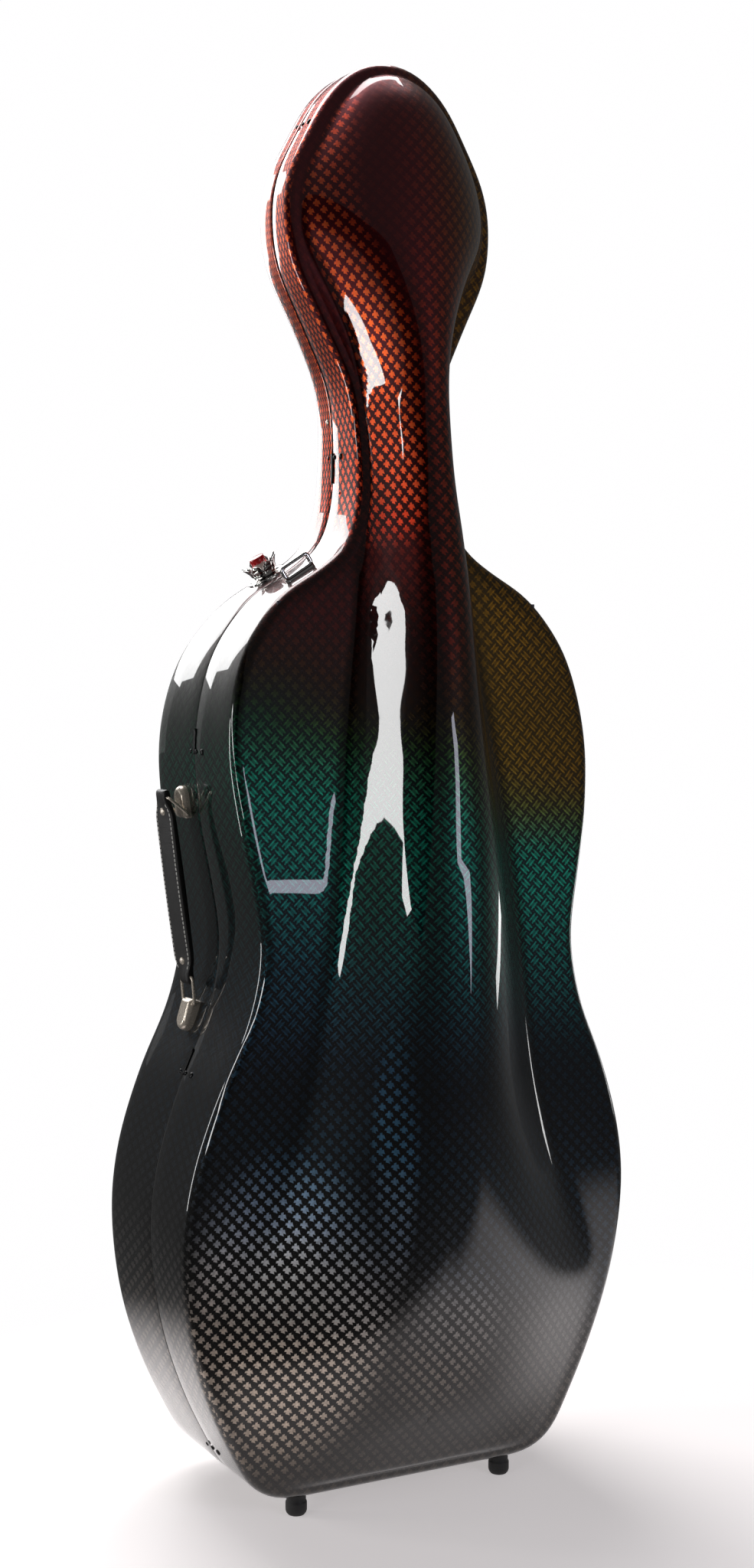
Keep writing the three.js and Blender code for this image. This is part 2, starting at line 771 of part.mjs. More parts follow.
// Hinges on one slanted line that touches the upper and the lower bout
function supportLine() {
  const upper = outline.filter((p) => p.y > waistHeight);
  const lower = outline.filter((p) => p.y < waistHeight);
  const outermost = (points, n) => points.reduce((best, p) => (p.dot(n) > best.dot(n) ? p : best));
  let [top, bottom] = [new THREE.Vector2(...upperBout), new THREE.Vector2(...lowerBout)];
  for (let pass = 0; pass < supportPasses; pass += 1) {
    const n = new THREE.Vector2(top.y - bottom.y, bottom.x - top.x).normalize();
    top = outermost(upper, n);
    bottom = outermost(lower, n);
  }
  return { top, bottom };
}

const support = supportLine();
const hingeUp = support.top.clone().sub(support.bottom).normalize();
const hingeOut = new THREE.Vector2(hingeUp.y, -hingeUp.x);

function hingeGroup(touch) {
  const group = new THREE.Group();
  group.position.set(touch.x + hingeOut.x * hingeStand, 0, touch.y + hingeOut.y * hingeStand);
  const basis = new THREE.Matrix4().makeBasis(
    new THREE.Vector3(hingeOut.x, 0, hingeOut.y),
    new THREE.Vector3(0, 1, 0),
    new THREE.Vector3(hingeUp.x, 0, hingeUp.y),
  );
  group.quaternion.setFromRotationMatrix(basis);
  group.updateMatrixWorld(true);
  model.add(group);
  return group;
}

function hingeLeaf(group, side, first) {
  const half = hingeLength / 2;
  const pitch = (hingeLength + knuckleGap) / knuckleCount;
  const toward = side === 'base' ? 1 : -1;
  const span = (from, to) => (toward > 0 ? [from, to] : [-to, -from]);
  const across = [-hingeStand - leafSink, -hingeStand + leafThickness];
  const sheet = block(across, span(leafStart, leafWidth), [-half, half]);
  const pieces = [];
  for (let i = first; i < knuckleCount; i += 2) {
    const from = -half + i * pitch;
    const to = from + pitch - knuckleGap;
    pieces.push(rod(knuckleRadius, from, to, pinSides));
    pieces.push(block([-hingeStand, 0], span(webStart, knuckleRadius), [from, to]));
  }
  const bore = rod(hingeBore, -half - cutOverrun, half + cutOverrun, pinSides);
  return seated(group, cut(joined(sheet, ...pieces), bore), side);
}

function hingePin() {
  const half = hingeLength / 2 + seat;
  const end = half + pinHeadHeight;
  return turned([
    [0, -end], [pinHeadRadius, -end], [pinHeadRadius, -half], [pinRadius, -half],
    [pinRadius, half], [pinHeadRadius, half], [pinHeadRadius, end], [0, end],
  ], pinSides);
}

for (const [name, touch] of [['upper', support.top], ['lower', support.bottom]]) {
  const group = hingeGroup(touch);
  addTo(group, `${name}_hinge_base_leaf`, hingeLeaf(group, 'base', 0), 'steel');
  addTo(group, `${name}_hinge_lid_leaf`, hingeLeaf(group, 'lid', 1), 'steel');
  addTo(group, `${name}_hinge_pin`, hingePin(), 'steel');
}

// Five latch stations: a claw on a rivet in the base, and a keeper with a pin in the lid
const clawBossTop = -(wall + clawBossGap);
const clawTop = clawBossTop - clawBossHeight;
const clawBottom = clawTop - clawThickness;
const clawTail = clawBottom - seat;
const keeperTop = -(wall + seat);
const keeperBottom = keeperTop - keeperThickness;
const keeperTail = keeperBottom - seat;
const middleOfKeeper = (keeperTop + keeperBottom) / 2;

function polar(radius, degrees) {
  const turn = THREE.MathUtils.degToRad(degrees);
  return new THREE.Vector2(radius * Math.sin(turn), radius * Math.cos(turn));
}

function clawSolid() {
  const midAngle = (clawTipAngle + clawArmAngle) / 2;
  const hook = [
    new THREE.Vector2(0, 0),
    ...[clawArmAngle, midAngle, clawTipAngle].map((angle) => polar(clawInner, angle)),
    ...[clawTipAngle, midAngle, clawArmAngle, clawBackAngle].map((angle) => polar(clawOuter, angle)),
  ];
  const hub = rod(clawHub, clawBottom, clawBossTop, boltSides);
  const arm = plate(new THREE.Shape(hook), clawBottom, clawTop);
  return cut(joined(hub, arm), rod(clawRivetShank + seat, clawBottom - cutOverrun, cutOverrun, pinSides));
}

function keeperSolid(group) {
  const thickness = [keeperBottom, keeperTop + cutOverrun];
  const sheet = block([-keeperHalfWidth, keeperHalfWidth], [keeperStart, keeperEnd], thickness);
  const fitted = common(sheet, within(group, inside.lid));
  const pinRange = [keeperBottom - keeperPinReach, middleOfKeeper];
  const pin = rod(keeperPinRadius, ...pinRange, pinSides, 0, keeperPinOffset);
  const holeBottom = keeperBottom - cutOverrun;
  const hole = rod(keeperRivetShank + seat, holeBottom, cutOverrun, pinSides, 0, keeperRow);
  return cut(joined(fitted, pin), hole);
}

function rivetSolid(shank, head, height, tail, tailEnd) {
  return turned([
    [0, tailEnd - tailHeight], [tail, tailEnd - tailHeight], [tail, tailEnd], [shank, tailEnd], [shank, seat],
    [head, seat], [head * rivetShoulderShare, seat + height * rivetShoulderShare], [0, seat + height],
  ], pinSides);
}

for (const [name, z] of latchStations) {
  const group = leftWallGroup(z, 0);
  const claw = addTo(group, `${name}_claw`, clawSolid(), 'steel');
  claw.position.y = -clawRow;
  addTo(group, `${name}_keeper`, keeperSolid(group), 'steel');
  const clawRivet = rivetSolid(clawRivetShank, clawRivetHead, clawRivetHeight, clawRivetTail, clawTail);
  addTo(group, `${name}_claw_rivet`, clawRivet, 'blackMetal').position.y = -clawRow;
  const keeperRivetSizes = [keeperRivetShank, keeperRivetHead, keeperRivetHeight, keeperRivetTail];
  const keeperRivet = rivetSolid(...keeperRivetSizes, keeperTail);
  addTo(group, `${name}_keeper_rivet`, keeperRivet, 'blackMetal').position.y = keeperRow;
  const depth = wall + cutOverrun;
  baseShellCuts.push(inWorld(group, rod(clawRivetShank + seat, -depth, cutOverrun, pinSides, 0, -clawRow)));
  lidShellCuts.push(inWorld(group, rod(keeperRivetShank + seat, -depth, cutOverrun, pinSides, 0, keeperRow)));
}

// Short bars over the seam that guide the rims together
function guideSolid(group, from, to) {
  const radius = guideWidth / 2;
  const bar = stadium(from + radius, to - radius, radius, guideEndSteps);
  return seated(group, plate(bar, -guideSink, seat + guideHeight), 'base', 'lid');
}

for (const [name, z, from, to] of seamGuides) {
  const group = leftWallGroup(z, 0);
  addTo(group, `${name}_seam_guide`, guideSolid(group, from, to), 'steel');
}

// Central lock on the left shoulder: a crown knob with a press button, on a spindle in a housing
function petal(turn) {
  const rings = petalShares.map(([rise, ...across]) => {
    const height = knobBottom + (knobTop - knobBottom) * rise;
    const [inner, outer, half] = across.map((share) => share * knobRadius);
    const corners = [[inner, -half], [outer, -half], [outer, half], [inner, half]];
    return corners.map(([x, y]) => new THREE.Vector3(x, y, height));
  });
  return loft(rings).rotateZ(turn);
}

function knobSolid() {
  const dish = rod(knobDishRadius, knobBottom, knobDishTop, crownSides);
  const petals = Array.from({ length: petalCount }, (_, i) => petal((2 * Math.PI * i) / petalCount));
  return cut(joined(dish, ...petals), rod(knobBore, knobFloor, knobDishTop + cutOverrun, crownSides));
}

function spindleSolid() {
  const flangeBottom = -housingDepth + housingWall + seat;
  const flangeTop = flangeBottom + camThickness;
  return turned([
    [0, flangeBottom], [camRadius, flangeBottom], [camRadius, flangeTop], [spindleRadius, flangeTop],
    [spindleRadius, plateHeight], [0, plateHeight],
  ], crownSides);
}

function lockPlateSolid(group) {
  const disc = rod(plateRadius, -plateSink, plateHeight, crownSides);
  const holeRadius = spindleRadius + spindleClearance;
  const hole = rod(holeRadius, -plateSink - cutOverrun, plateHeight + cutOverrun, crownSides);
  return cut(seated(group, disc, 'base'), hole);
}

function housingSolid(group) {
  const cup = rod(housingRadius, -housingDepth, 0, crownSides);
  const hollow = rod(housingRadius - housingWall, -housingDepth + housingWall, cutOverrun, crownSides);
  return common(cut(cup, hollow), within(group, inside.base));
}

const lockGroup = leftWallGroup(lockHeight, lockDepth);
addTo(lockGroup, 'lock_plate', lockPlateSolid(lockGroup), 'chrome');
addTo(lockGroup, 'lock_knob', knobSolid(), 'chrome');
addTo(lockGroup, 'lock_spindle', spindleSolid(), 'steel');
addTo(lockGroup, 'lock_housing', housingSolid(lockGroup), 'steel');
const buttonProfile = [
  [0, buttonBottom], [knobBore - buttonClearance, buttonBottom], [knobBore - buttonClearance, buttonGuideTop],
  [buttonStem, buttonGuideTop], [buttonStem, buttonCapBottom], [buttonCap, buttonCapBottom],
  [buttonCap, buttonTop - buttonRounding], [buttonCap - buttonRounding, buttonTop], [0, buttonTop],
];
addTo(lockGroup, 'lock_button', turned(buttonProfile, crownSides), 'red');
const spindleHoleRadius = spindleRadius + seat + spindleClearance;
baseShellCuts.push(inWorld(lockGroup, rod(spindleHoleRadius, -wall - cutOverrun, cutOverrun, crownSides)));
const lockPocketRadius = housingRadius + pocketClearance;
const lockPocket = inWorld(lockGroup, rod(lockPocketRadius, -housingDepth - pocketClearance, 0, crownSides));
baseLiningCuts.push(lockPocket);

// Strap loop on the lid's shoulder, a ring that stands square to the wall
function strapLoopSolid(group) {
  const [half, slotHalf] = [strapLoopLength / 2, strapSlotLength / 2];
  const ring = roundedRectangle([-half, half], [-strapLoopSink, strapLoopTop], strapLoopCorner);
  ring.holes.push(rectanglePath([-slotHalf, slotHalf], [strapSlotBottom, strapSlotBottom + strapSlotHeight]));
  const body = plate(ring, -strapLoopWidth / 2, strapLoopWidth / 2).rotateX(Math.PI / 2);
  return seated(group, body, 'lid');
}

const strapGroup = leftWallGroup(strapLoopHeight, -strapLoopDepth);
addTo(strapGroup, 'strap_loop', strapLoopSolid(strapGroup), 'chrome');

// Carrying handle: two bullet brackets, a wire loop in each, and a grip between the loops
function bracketSolid(group, facing) {
  const straight = bracketLength / 2 - bracketWidth / 2;
  const outlineAt = (height, share) => {
    const points = [new THREE.Vector3(bracketLength / 2, -bracketWidth / 2, 0)];
    points.push(new THREE.Vector3(bracketLength / 2, bracketWidth / 2, 0));
    for (let i = 0; i <= bracketEndSteps; i += 1) {
      const turn = (Math.PI * i) / bracketEndSteps;
      const y = (bracketWidth / 2) * Math.cos(turn);
      points.push(new THREE.Vector3(-straight - (bracketWidth / 2) * Math.sin(turn), y, 0));
    }
    return points.map((p) => new THREE.Vector3(p.x * share * facing, p.y * share, height));
  };
  const upper = bracketShares.map(([rise, share]) => outlineAt(rise * bracketHeight, share));
  const dome = loft([outlineAt(-bracketSink, 1), ...upper]);
  const bore = rod(wireRadius + bracketClearance, -bracketWidth, bracketWidth, pinSides).rotateX(Math.PI / 2);
  bore.translate(facing * bracketPivotOffset, 0, bracketPivotHeight);
  return cut(seated(group, dome, 'base'), bore);
}

// A closed wire ring: its pivot side lies on the local Y axis and its length runs along X
function wireLoop() {
  const half = loopWidth / 2;
  const places = [[0, -half], [loopLength, -half], [loopLength, half], [0, half]];
  const corners = places.map((p) => new THREE.Vector2(...p));
  const path = [];
  corners.forEach((corner, i) => {
    const from = corner.clone().sub(corners[(i + 3) % corners.length]).normalize();
    const to = corners[(i + 1) % corners.length].clone().sub(corner).normalize();
    const centre = corner.clone().addScaledVector(from, -loopCorner).addScaledVector(to, loopCorner);
    for (let k = 0; k <= loopCornerSteps; k += 1) {
      const turn = (Math.PI / 2) * (k / loopCornerSteps);
      const arm = to.clone().multiplyScalar(-Math.cos(turn)).addScaledVector(from, Math.sin(turn));
      path.push(centre.clone().addScaledVector(arm, loopCorner));
    }
  });
  return ringTube(path, wireRadius, wireSides);
}

function handleGrip(length) {
  const straight = gripWidth / 2 - gripThickness / 2;
  const section = stadium(-straight, straight, gripThickness / 2, gripEndSteps);
  const body = plate(section, -gripEnd, length + gripEnd);
  body.rotateZ(Math.PI / 2).rotateY(Math.PI / 2);
  const slotHalf = wireRadius + eyeClearance;
  const eye = (x) => rod(slotHalf, -gripWidth, gripWidth, pinSides).rotateX(Math.PI / 2).translate(x, 0, 0);
  const slot = block([length - slotReach, length], [-gripWidth, gripWidth], [-slotHalf, slotHalf]);
  return cut(body, eye(0), slot, eye(length - slotReach), eye(length));
}

function turnedGroup(position, lean) {
  const group = new THREE.Group();
  const along = new THREE.Vector3(-Math.sin(lean), 0, Math.cos(lean));
  const outward = new THREE.Vector3(-Math.cos(lean), 0, -Math.sin(lean));
  group.position.copy(position);
  const basis = new THREE.Matrix4().makeBasis(along, new THREE.Vector3(0, 1, 0), outward);
  group.quaternion.setFromRotationMatrix(basis);
  group.updateMatrixWorld(true);
  model.add(group);
  return group;
}

function bracket(name, z, facing) {
  const group = leftWallGroup(z, handleDepth);
  addTo(group, `${name}_handle_bracket`, bracketSolid(group, facing), 'nickel');
  const pivot = new THREE.Vector3(facing * bracketPivotOffset, 0, bracketPivotHeight);
  return pivot.applyMatrix4(group.matrixWorld);
}

const upperPivot = bracket('upper', upperBracketHeight, 1);
const lowerPivot = bracket('lower', lowerBracketHeight, -1);
const upperLoop = turnedGroup(upperPivot, upperLoopLean);
const lowerLoop = turnedGroup(lowerPivot, lowerLoopLean);
addTo(upperLoop, 'upper_handle_loop', wireLoop(), 'nickel');
addTo(lowerLoop, 'lower_handle_loop', wireLoop(), 'nickel');
const upperEye = new THREE.Vector3(loopLength, 0, 0).applyMatrix4(upperLoop.matrixWorld);
const lowerEye = new THREE.Vector3(loopLength, 0, 0).applyMatrix4(lowerLoop.matrixWorld);
const gripLean = Math.atan2(upperEye.x - lowerEye.x, lowerEye.z - upperEye.z);
const gripGroup = turnedGroup(upperEye, gripLean);
addTo(gripGroup, 'handle_grip', handleGrip(upperEye.distanceTo(lowerEye)), 'leather');

// Four feet under the bottom
for (const [name, x, y] of footPlaces) {
  const foot = turned([
    [0, 0], [footFaceRadius, 0], [footRadius, footBulgeHeight], [footRadius, footShoulderHeight],
    [footTopRadius, footHeight - seat], [0, footHeight - seat],
  ], footSides);
  add(`${name}_foot`, foot, 'rubber').position.set(x, y, 0);
}

// Padding that holds the instrument, in the base
function padded(box, ...tools) {
  return common(cut(box, ...tools), baseCavity);
}

// A round bar along the depth of the case, as tall as the instrument is deep
function bodyRound(radius, z) {
  return rod(radius, -farReach, farReach, bodySides).rotateX(Math.PI / 2).translate(0, 0, z);
}

const upperRound = bodyRound(instrumentUpperRadius, instrumentUpperHeight);
const lowerRound = bodyRound(instrumentLowerRadius, instrumentLowerHeight);
const depthRange = [padFace, farReach];

const channelRange = [cradleLow - cutOverrun, cradleHigh + cutOverrun];
const neckChannel = rod(neckChannelRadius, ...channelRange, channelSides, 0, padFace);
const cradleBlock = block([-farReach, farReach], depthRange, [cradleLow, cradleHigh]);
add('neck_cradle', padded(cradleBlock, neckChannel), 'foam');

for (const [name, hand] of [['left', -1], ['right', 1]]) {
  const across = (from, to) => (hand > 0 ? [from, to] : [-to, -from]);
  const shoulderRange = [upperBolsterLow, upperBolsterHigh];
  const shoulder = block(across(upperBolsterStart, farReach), depthRange, shoulderRange);
  add(`${name}_upper_bolster`, padded(shoulder, upperRound, lockPocket), 'foam');
  const hip = block(across(lowerBolsterStart, farReach), depthRange, [lowerBolsterLow, lowerBolsterHigh]);
  add(`${name}_lower_bolster`, padded(hip, lowerRound), 'foam');
}

const endpinHole = rod(endpinHoleRadius, 0, farReach, boltSides, 0, endpinDepth);
const seatBlock = block([-bottomBolsterHalf, bottomBolsterHalf], depthRange, [0, bottomBolsterTop]);
add('bottom_bolster', padded(seatBlock, lowerRound, endpinHole), 'foam');

// Two bow places in the lid: a pocket for the tip above, a turning clip below
const lidBosses = [];

function lidInsideDepth(x, z) {
  return sides.lid.depth(z) + sides.lid.crown(x, z) - liningInner;
}

for (const [name, hand] of [['left', -1], ['right', 1]]) {
  const back = lidInsideDepth(pocketPlace, pocketLow) - seat;
  const xs = [hand * pocketPlace - pocketWidth / 2, hand * pocketPlace + pocketWidth / 2];
  const shell = block(xs, [-back, -back + pocketDepth], [pocketLow, pocketLow + pocketHeight]);
  const hollow = block(
    [xs[0] + pocketWall, xs[1] - pocketWall],
    [-back + pocketWall, -back + pocketDepth - pocketWall],
    [pocketLow - cutOverrun, pocketLow + pocketHeight - pocketWall],
  );
  add(`${name}_bow_pocket`, common(cut(shell, hollow), lidCavity), 'lining');

  const face = lidInsideDepth(clipPlace + clipBossRadius, clipHeight) - clipBossRise;
  const boss = rod(clipBossRadius, face, face + farReach, clipSides).rotateX(Math.PI / 2);
  lidBosses.push(common(boss.translate(hand * clipPlace, 0, clipHeight), insideLining));
  const clip = joined(
    rod(clipHub, 0, clipThickness, clipSides),
    plate(stadium(0, clipArm, clipArmWidth / 2, clipEndSteps), clipHubRise, clipThickness),
  );
  const clipGroup = new THREE.Group();
  clipGroup.position.set(hand * clipPlace, -face + seat, clipHeight);
  clipGroup.quaternion.setFromRotationMatrix(new THREE.Matrix4().makeBasis(
    new THREE.Vector3(0, 0, 1), new THREE.Vector3(1, 0, 0), new THREE.Vector3(0, 1, 0),
  ));
  model.add(clipGroup);
  addTo(clipGroup, `${name}_bow_clip`, clip, 'rubber');
}

// Shells, linings and the gasket between the rims
add('base_shell', cut(shellSolid('base', 0, wall, rimAt), ...baseShellCuts), 'shell');
add('lid_shell', cut(shellSolid('lid', 0, wall, rimAt), ...lidShellCuts), 'shell');
const baseLining = shellSolid('base', liningOuter, liningInner, rimBand);
add('base_lining', cut(baseLining, ...baseLiningCuts), 'lining');
const lidLining = common(shellSolid('lid', liningOuter, liningInner, rimBand), inside.lid);
add('lid_lining', joined(lidLining, ...lidBosses), 'lining');

function gasketSolid() {
  const ringAt = (inset, y) => outline.map((p, i) => {
    const n = outlineNormals[i];
    return new THREE.Vector3(i === 0 || i === lastColumn ? 0 : p.x - n.x * inset, y, p.y - n.y * inset);
  });
  const [outerInset, innerInset] = [seat, wall - seat];
  const half = gasketThickness / 2;
  const corners = [[outerInset, -half], [outerInset, half], [innerInset, half], [innerInset, -half]];
  const right = corners.map((c) => ringAt(...c));
  const sections = Array.from({ length: columnCount }, (_, i) => right.map((row) => {
    const p = row[i <= lastColumn ? i : columnCount - i].clone();
    return i <= lastColumn ? p : p.setX(-p.x);
  }));
  return sectionRing(sections);
}

add('rim_gasket', gasketSolid(), 'rubber');

model.updateMatrixWorld(true);
const bounds = new THREE.Box3().setFromObject(model);
const middle = bounds.getCenter(new THREE.Vector3());
model.position.set(-middle.x, -middle.y, -bounds.min.z);
model.updateMatrixWorld(true);
export default model;
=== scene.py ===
"""Looks of the cello hard case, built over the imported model. Lengths in the tables are in millimetres."""
import json
import math

import bpy
import numpy as np
from mathutils import Matrix, Vector


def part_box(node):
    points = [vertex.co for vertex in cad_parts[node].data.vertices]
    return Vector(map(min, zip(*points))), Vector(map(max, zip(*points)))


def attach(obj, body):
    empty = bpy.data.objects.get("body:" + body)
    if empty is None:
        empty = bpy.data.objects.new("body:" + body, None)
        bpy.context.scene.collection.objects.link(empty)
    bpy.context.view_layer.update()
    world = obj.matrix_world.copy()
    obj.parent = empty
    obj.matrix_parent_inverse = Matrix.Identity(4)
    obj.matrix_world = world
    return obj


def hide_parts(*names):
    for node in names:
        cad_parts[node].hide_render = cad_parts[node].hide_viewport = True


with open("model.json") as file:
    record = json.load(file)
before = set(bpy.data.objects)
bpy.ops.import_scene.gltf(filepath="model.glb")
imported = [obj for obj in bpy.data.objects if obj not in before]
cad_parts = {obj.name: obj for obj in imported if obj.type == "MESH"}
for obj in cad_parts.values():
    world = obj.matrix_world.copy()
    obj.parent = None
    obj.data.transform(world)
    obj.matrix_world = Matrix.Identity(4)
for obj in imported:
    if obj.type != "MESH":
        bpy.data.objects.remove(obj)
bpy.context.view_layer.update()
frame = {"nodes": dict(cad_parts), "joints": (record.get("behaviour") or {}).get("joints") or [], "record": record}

# The case's own frame: x 0 is its middle, y 0 the seam plane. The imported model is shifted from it.
gasket_low, gasket_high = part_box("rim_gasket")
SHIFT = np.array([(gasket_low[0] + gasket_high[0]) / 2, (gasket_low[1] + gasket_high[1]) / 2, 0.0])
MM = 0.001
JOINTS = {j["name"]: j for j in frame["joints"]}

FOOT, TOP = 20.0, 1335.0
WALL, SEAM = 3.0, 0.9
LID_EDGE, BASE_EDGE = 10.0, 36.0
LINING_RIM, LINING_OUTSIDE, LINING_INSIDE = 23.0, 3.6, 7.4


def to_row(points):
    """Case frame in millimetres to the row frame in metres."""
    return np.asarray(points, dtype=float) * MM + SHIFT


def to_case(point):
    return (np.asarray(point, dtype=float) - SHIFT) / MM


# Outline
HEAD, NECK, UPPER, WAIST, LOWER = (107, 1190), (45, 960), (186, 705), (162, 525), (232, 270)
FLAT, CORNER_R, LEAN = 120.0, 55.0, math.radians(25.3)
CORNER = (FLAT + CORNER_R * math.cos(LEAN), FOOT + CORNER_R * (1 - math.sin(LEAN)))


def falling(shares, a, b):
    return [(b[0] + (a[0] - b[0]) * w, b[1] + (a[1] - b[1]) * h) for w, h in shares]


def rising(shares, a, b):
    return [(a[0] + (b[0] - a[0]) * w, b[1] + (a[1] - b[1]) * h) for w, h in shares]


STATIONS = [(HEAD[0] * w, HEAD[1] + (TOP - HEAD[1]) * h) for w, h in
            [(0, 1), (0.25, 0.965), (0.54, 0.8), (0.79, 0.5), (0.93, 0.3), (0.99, 0.13)]]
STATIONS += [HEAD, *falling([(0.92, 0.82), (0.47, 0.565), (0.07, 0.326), (0, 0.11)], HEAD, NECK), NECK]
STATIONS += rising([(0.01, 0.902), (0.106, 0.737), (0.331, 0.639), (0.57, 0.561), (0.725, 0.471),
                    (0.866, 0.353), (0.958, 0.196)], NECK, UPPER)
STATIONS += [UPPER, *falling([(0.76, 0.639), (0.28, 0.306)], UPPER, WAIST), WAIST]
STATIONS += [*rising([(0.17, 0.765), (0.58, 0.51), (0.9, 0.235)], WAIST, LOWER), LOWER]
STATIONS += [*falling([(0.86, 0.62), (0.49, 0.286)], LOWER, CORNER), CORNER]
STATIONS = np.array([(-STATIONS[1][0], STATIONS[1][1])] + STATIONS, dtype=float)


def curve_point(t):
    """The centripetal curve through the stations, as the solids take it."""
    last = len(STATIONS) - 1
    i = min(int(last * t), last - 1)
    w = last * t - i
    p0 = STATIONS[i - 1] if i > 0 else 2 * STATIONS[0] - STATIONS[1]
    p1, p2 = STATIONS[i], STATIONS[i + 1]
    p3 = STATIONS[i + 2] if i + 2 <= last else 2 * STATIONS[-1] - STATIONS[-2]
    d0, d1, d2 = (max(float(((b - a) ** 2).sum()) ** 0.25, 1e-6) for a, b in ((p0, p1), (p1, p2), (p2, p3)))
    m1 = ((p1 - p0) / d0 - (p2 - p0) / (d0 + d1) + (p2 - p1) / d1) * d1
    m2 = ((p2 - p1) / d1 - (p3 - p1) / (d1 + d2) + (p3 - p2) / d2) * d1
    return p1 + m1 * w + (-3 * p1 + 3 * p2 - 2 * m1 - m2) * w * w + (2 * p1 - 2 * p2 + m1 + m2) * w ** 3


FIRST = 1 / (len(STATIONS) - 1)


def corner_arc(steps):
    leans = LEAN + (math.pi / 2 - LEAN) * np.arange(steps + 1) / steps
    return np.c_[FLAT + CORNER_R * np.cos(leans), FOOT + CORNER_R * (1 - np.sin(leans))]


def facet_outline():
    points = [curve_point(FIRST + (1 - FIRST) * i / 26) for i in range(26)]
    points[0][0] = 0
    return np.vstack([points, corner_arc(4), [(FLAT * (1 - i / 3), FOOT) for i in range(1, 4)]])


def gaussian(values, sigma, mirror):
    """Smooths samples; mirror is -1 or 1 for values that change sign, or not, past the ends, or 0 to hold them."""
    reach = int(4 * sigma) + 1
    kernel = np.exp(-0.5 * (np.arange(-reach, reach + 1) / sigma) ** 2)
    kernel /= kernel.sum()
    if mirror:
        padded = np.r_[mirror * values[reach:0:-1], values, mirror * values[-2:-reach - 2:-1]]
    else:
        padded = np.r_[np.full(reach, values[0]), values, np.full(reach, values[-1])]
    return np.convolve(padded, kernel, "valid")


def smooth_outline(step, sigma=12.0):
    dense = np.array([curve_point(FIRST + (1 - FIRST) * i / 3000) for i in range(3000)])
    dense[0, 0] = 0
    dense = np.vstack([dense, corner_arc(300), np.c_[FLAT * (1 - np.arange(1, 301) / 300), np.full(300, FOOT)]])
    arc = np.r_[0, np.cumsum(np.linalg.norm(np.diff(dense, axis=0), axis=1))]
    even = np.linspace(0, arc[-1], int(arc[-1]) + 1)
    x = gaussian(np.interp(even, arc, dense[:, 0]), sigma, -1)
    z = gaussian(np.interp(even, arc, dense[:, 1]), sigma, 1)
    x[0] = x[-1] = 0
    z += FOOT - z[-1]
    count = int(round(arc[-1] / step))
    at = np.linspace(0, arc[-1], count + 1)
    points = np.c_[np.interp(at, even, x), np.interp(at, even, z)]
    tangent = np.gradient(np.c_[x, z], axis=0)
    tangent = np.c_[np.interp(at, even, tangent[:, 0]), np.interp(at, even, tangent[:, 1])]
    tangent /= np.linalg.norm(tangent, axis=1)[:, None]
    normal = np.c_[-tangent[:, 1], tangent[:, 0]]
    normal[0], normal[-1] = (0, 1), (0, -1)
    return points, normal, at


FACETS = facet_outline()
OUTLINE, NORMALS, ARC = smooth_outline(8.0)
LAST = len(OUTLINE) - 1
ZS = np.arange(FOOT, TOP + 0.5)


def table(rows, sigma=16.0):
    """A smoothed curve through a table of (height share, value), sampled for each millimetre."""
    rows = np.array(rows, dtype=float)
    slope = np.array([(rows[min(i + 1, len(rows) - 1), 1] - rows[max(i - 1, 0), 1])
                      / (rows[min(i + 1, len(rows) - 1), 0] - rows[max(i - 1, 0), 0]) for i in range(len(rows))])
    share = np.clip((ZS - FOOT) / (TOP - FOOT), rows[0, 0], rows[-1, 0])
    i = np.clip(np.searchsorted(rows[:, 0], share) - 1, 0, len(rows) - 2)
    span = rows[i + 1, 0] - rows[i, 0]
    t = (share - rows[i, 0]) / span
    values = ((2 * t ** 3 - 3 * t ** 2 + 1) * rows[i, 1] + (t ** 3 - 2 * t ** 2 + t) * span * slope[i]
              + (3 * t ** 2 - 2 * t ** 3) * rows[i + 1, 1] + (t ** 3 - t ** 2) * span * slope[i + 1])
    return gaussian(values, sigma, 0)


LID_DEPTH = 98 * table([(0, 0.7), (0.08, 0.72), (0.24, 0.9), (0.42, 1), (0.56, 0.8), (0.67, 0.67), (0.78, 0.45),
                        (0.9, 0.35), (1, 0.34)])
BASE_DEPTH = 132 * table([(0, 1), (0.08, 0.97), (0.24, 0.95), (0.42, 0.9), (0.52, 0.87), (0.58, 0.78), (0.63, 0.6),
                          (0.67, 0.44), (0.72, 0.37), (0.78, 0.34), (0.9, 0.4), (1, 0.32)])
RIDGE_HEIGHT = 82 * np.maximum(table(
    [(0, 0), (0.025, 0.2), (0.07, 0.55), (0.15, 0.8), (0.25, 0.87), (0.36, 0.9), (0.47, 0.96), (0.54, 1), (0.61, 0.98),
     (0.68, 0.88), (0.75, 0.88), (0.82, 0.93), (0.88, 0.88), (0.94, 0.68), (0.975, 0.38), (0.991, 0)], 10.0), 0)
RIDGE_WIDTH = 108 * table(
    [(0, 2.2), (0.1, 2.1), (0.15, 1.85), (0.21, 1.5), (0.29, 1.15), (0.36, 1), (0.44, 0.86), (0.52, 0.72),
     (0.58, 0.58), (0.63, 0.48), (0.68, 0.38), (0.74, 0.335), (0.79, 0.36), (0.83, 0.56), (0.87, 0.85), (0.9, 1.1),
     (1, 1.2)])
RIDGE_SOFTNESS = table([(0, 1.2), (0.1, 1.5), (0.22, 1.6), (0.5, 1.6), (0.6, 1.2), (0.66, 0.85), (0.74, 0.8),
                        (0.8, 0.85), (0.86, 1), (1, 1)])
BACK_CROWN = 12 * table([(0, 0), (0.08, 0.7), (0.2, 1), (0.6, 1), (0.75, 0.6), (0.9, 0.7), (0.97, 0.3), (1, 0)])
wall_z, wall_x = OUTLINE[::-1, 1], OUTLINE[::-1, 0]
rising_part = np.maximum.accumulate(wall_z + np.arange(len(wall_z)) * 1e-6)
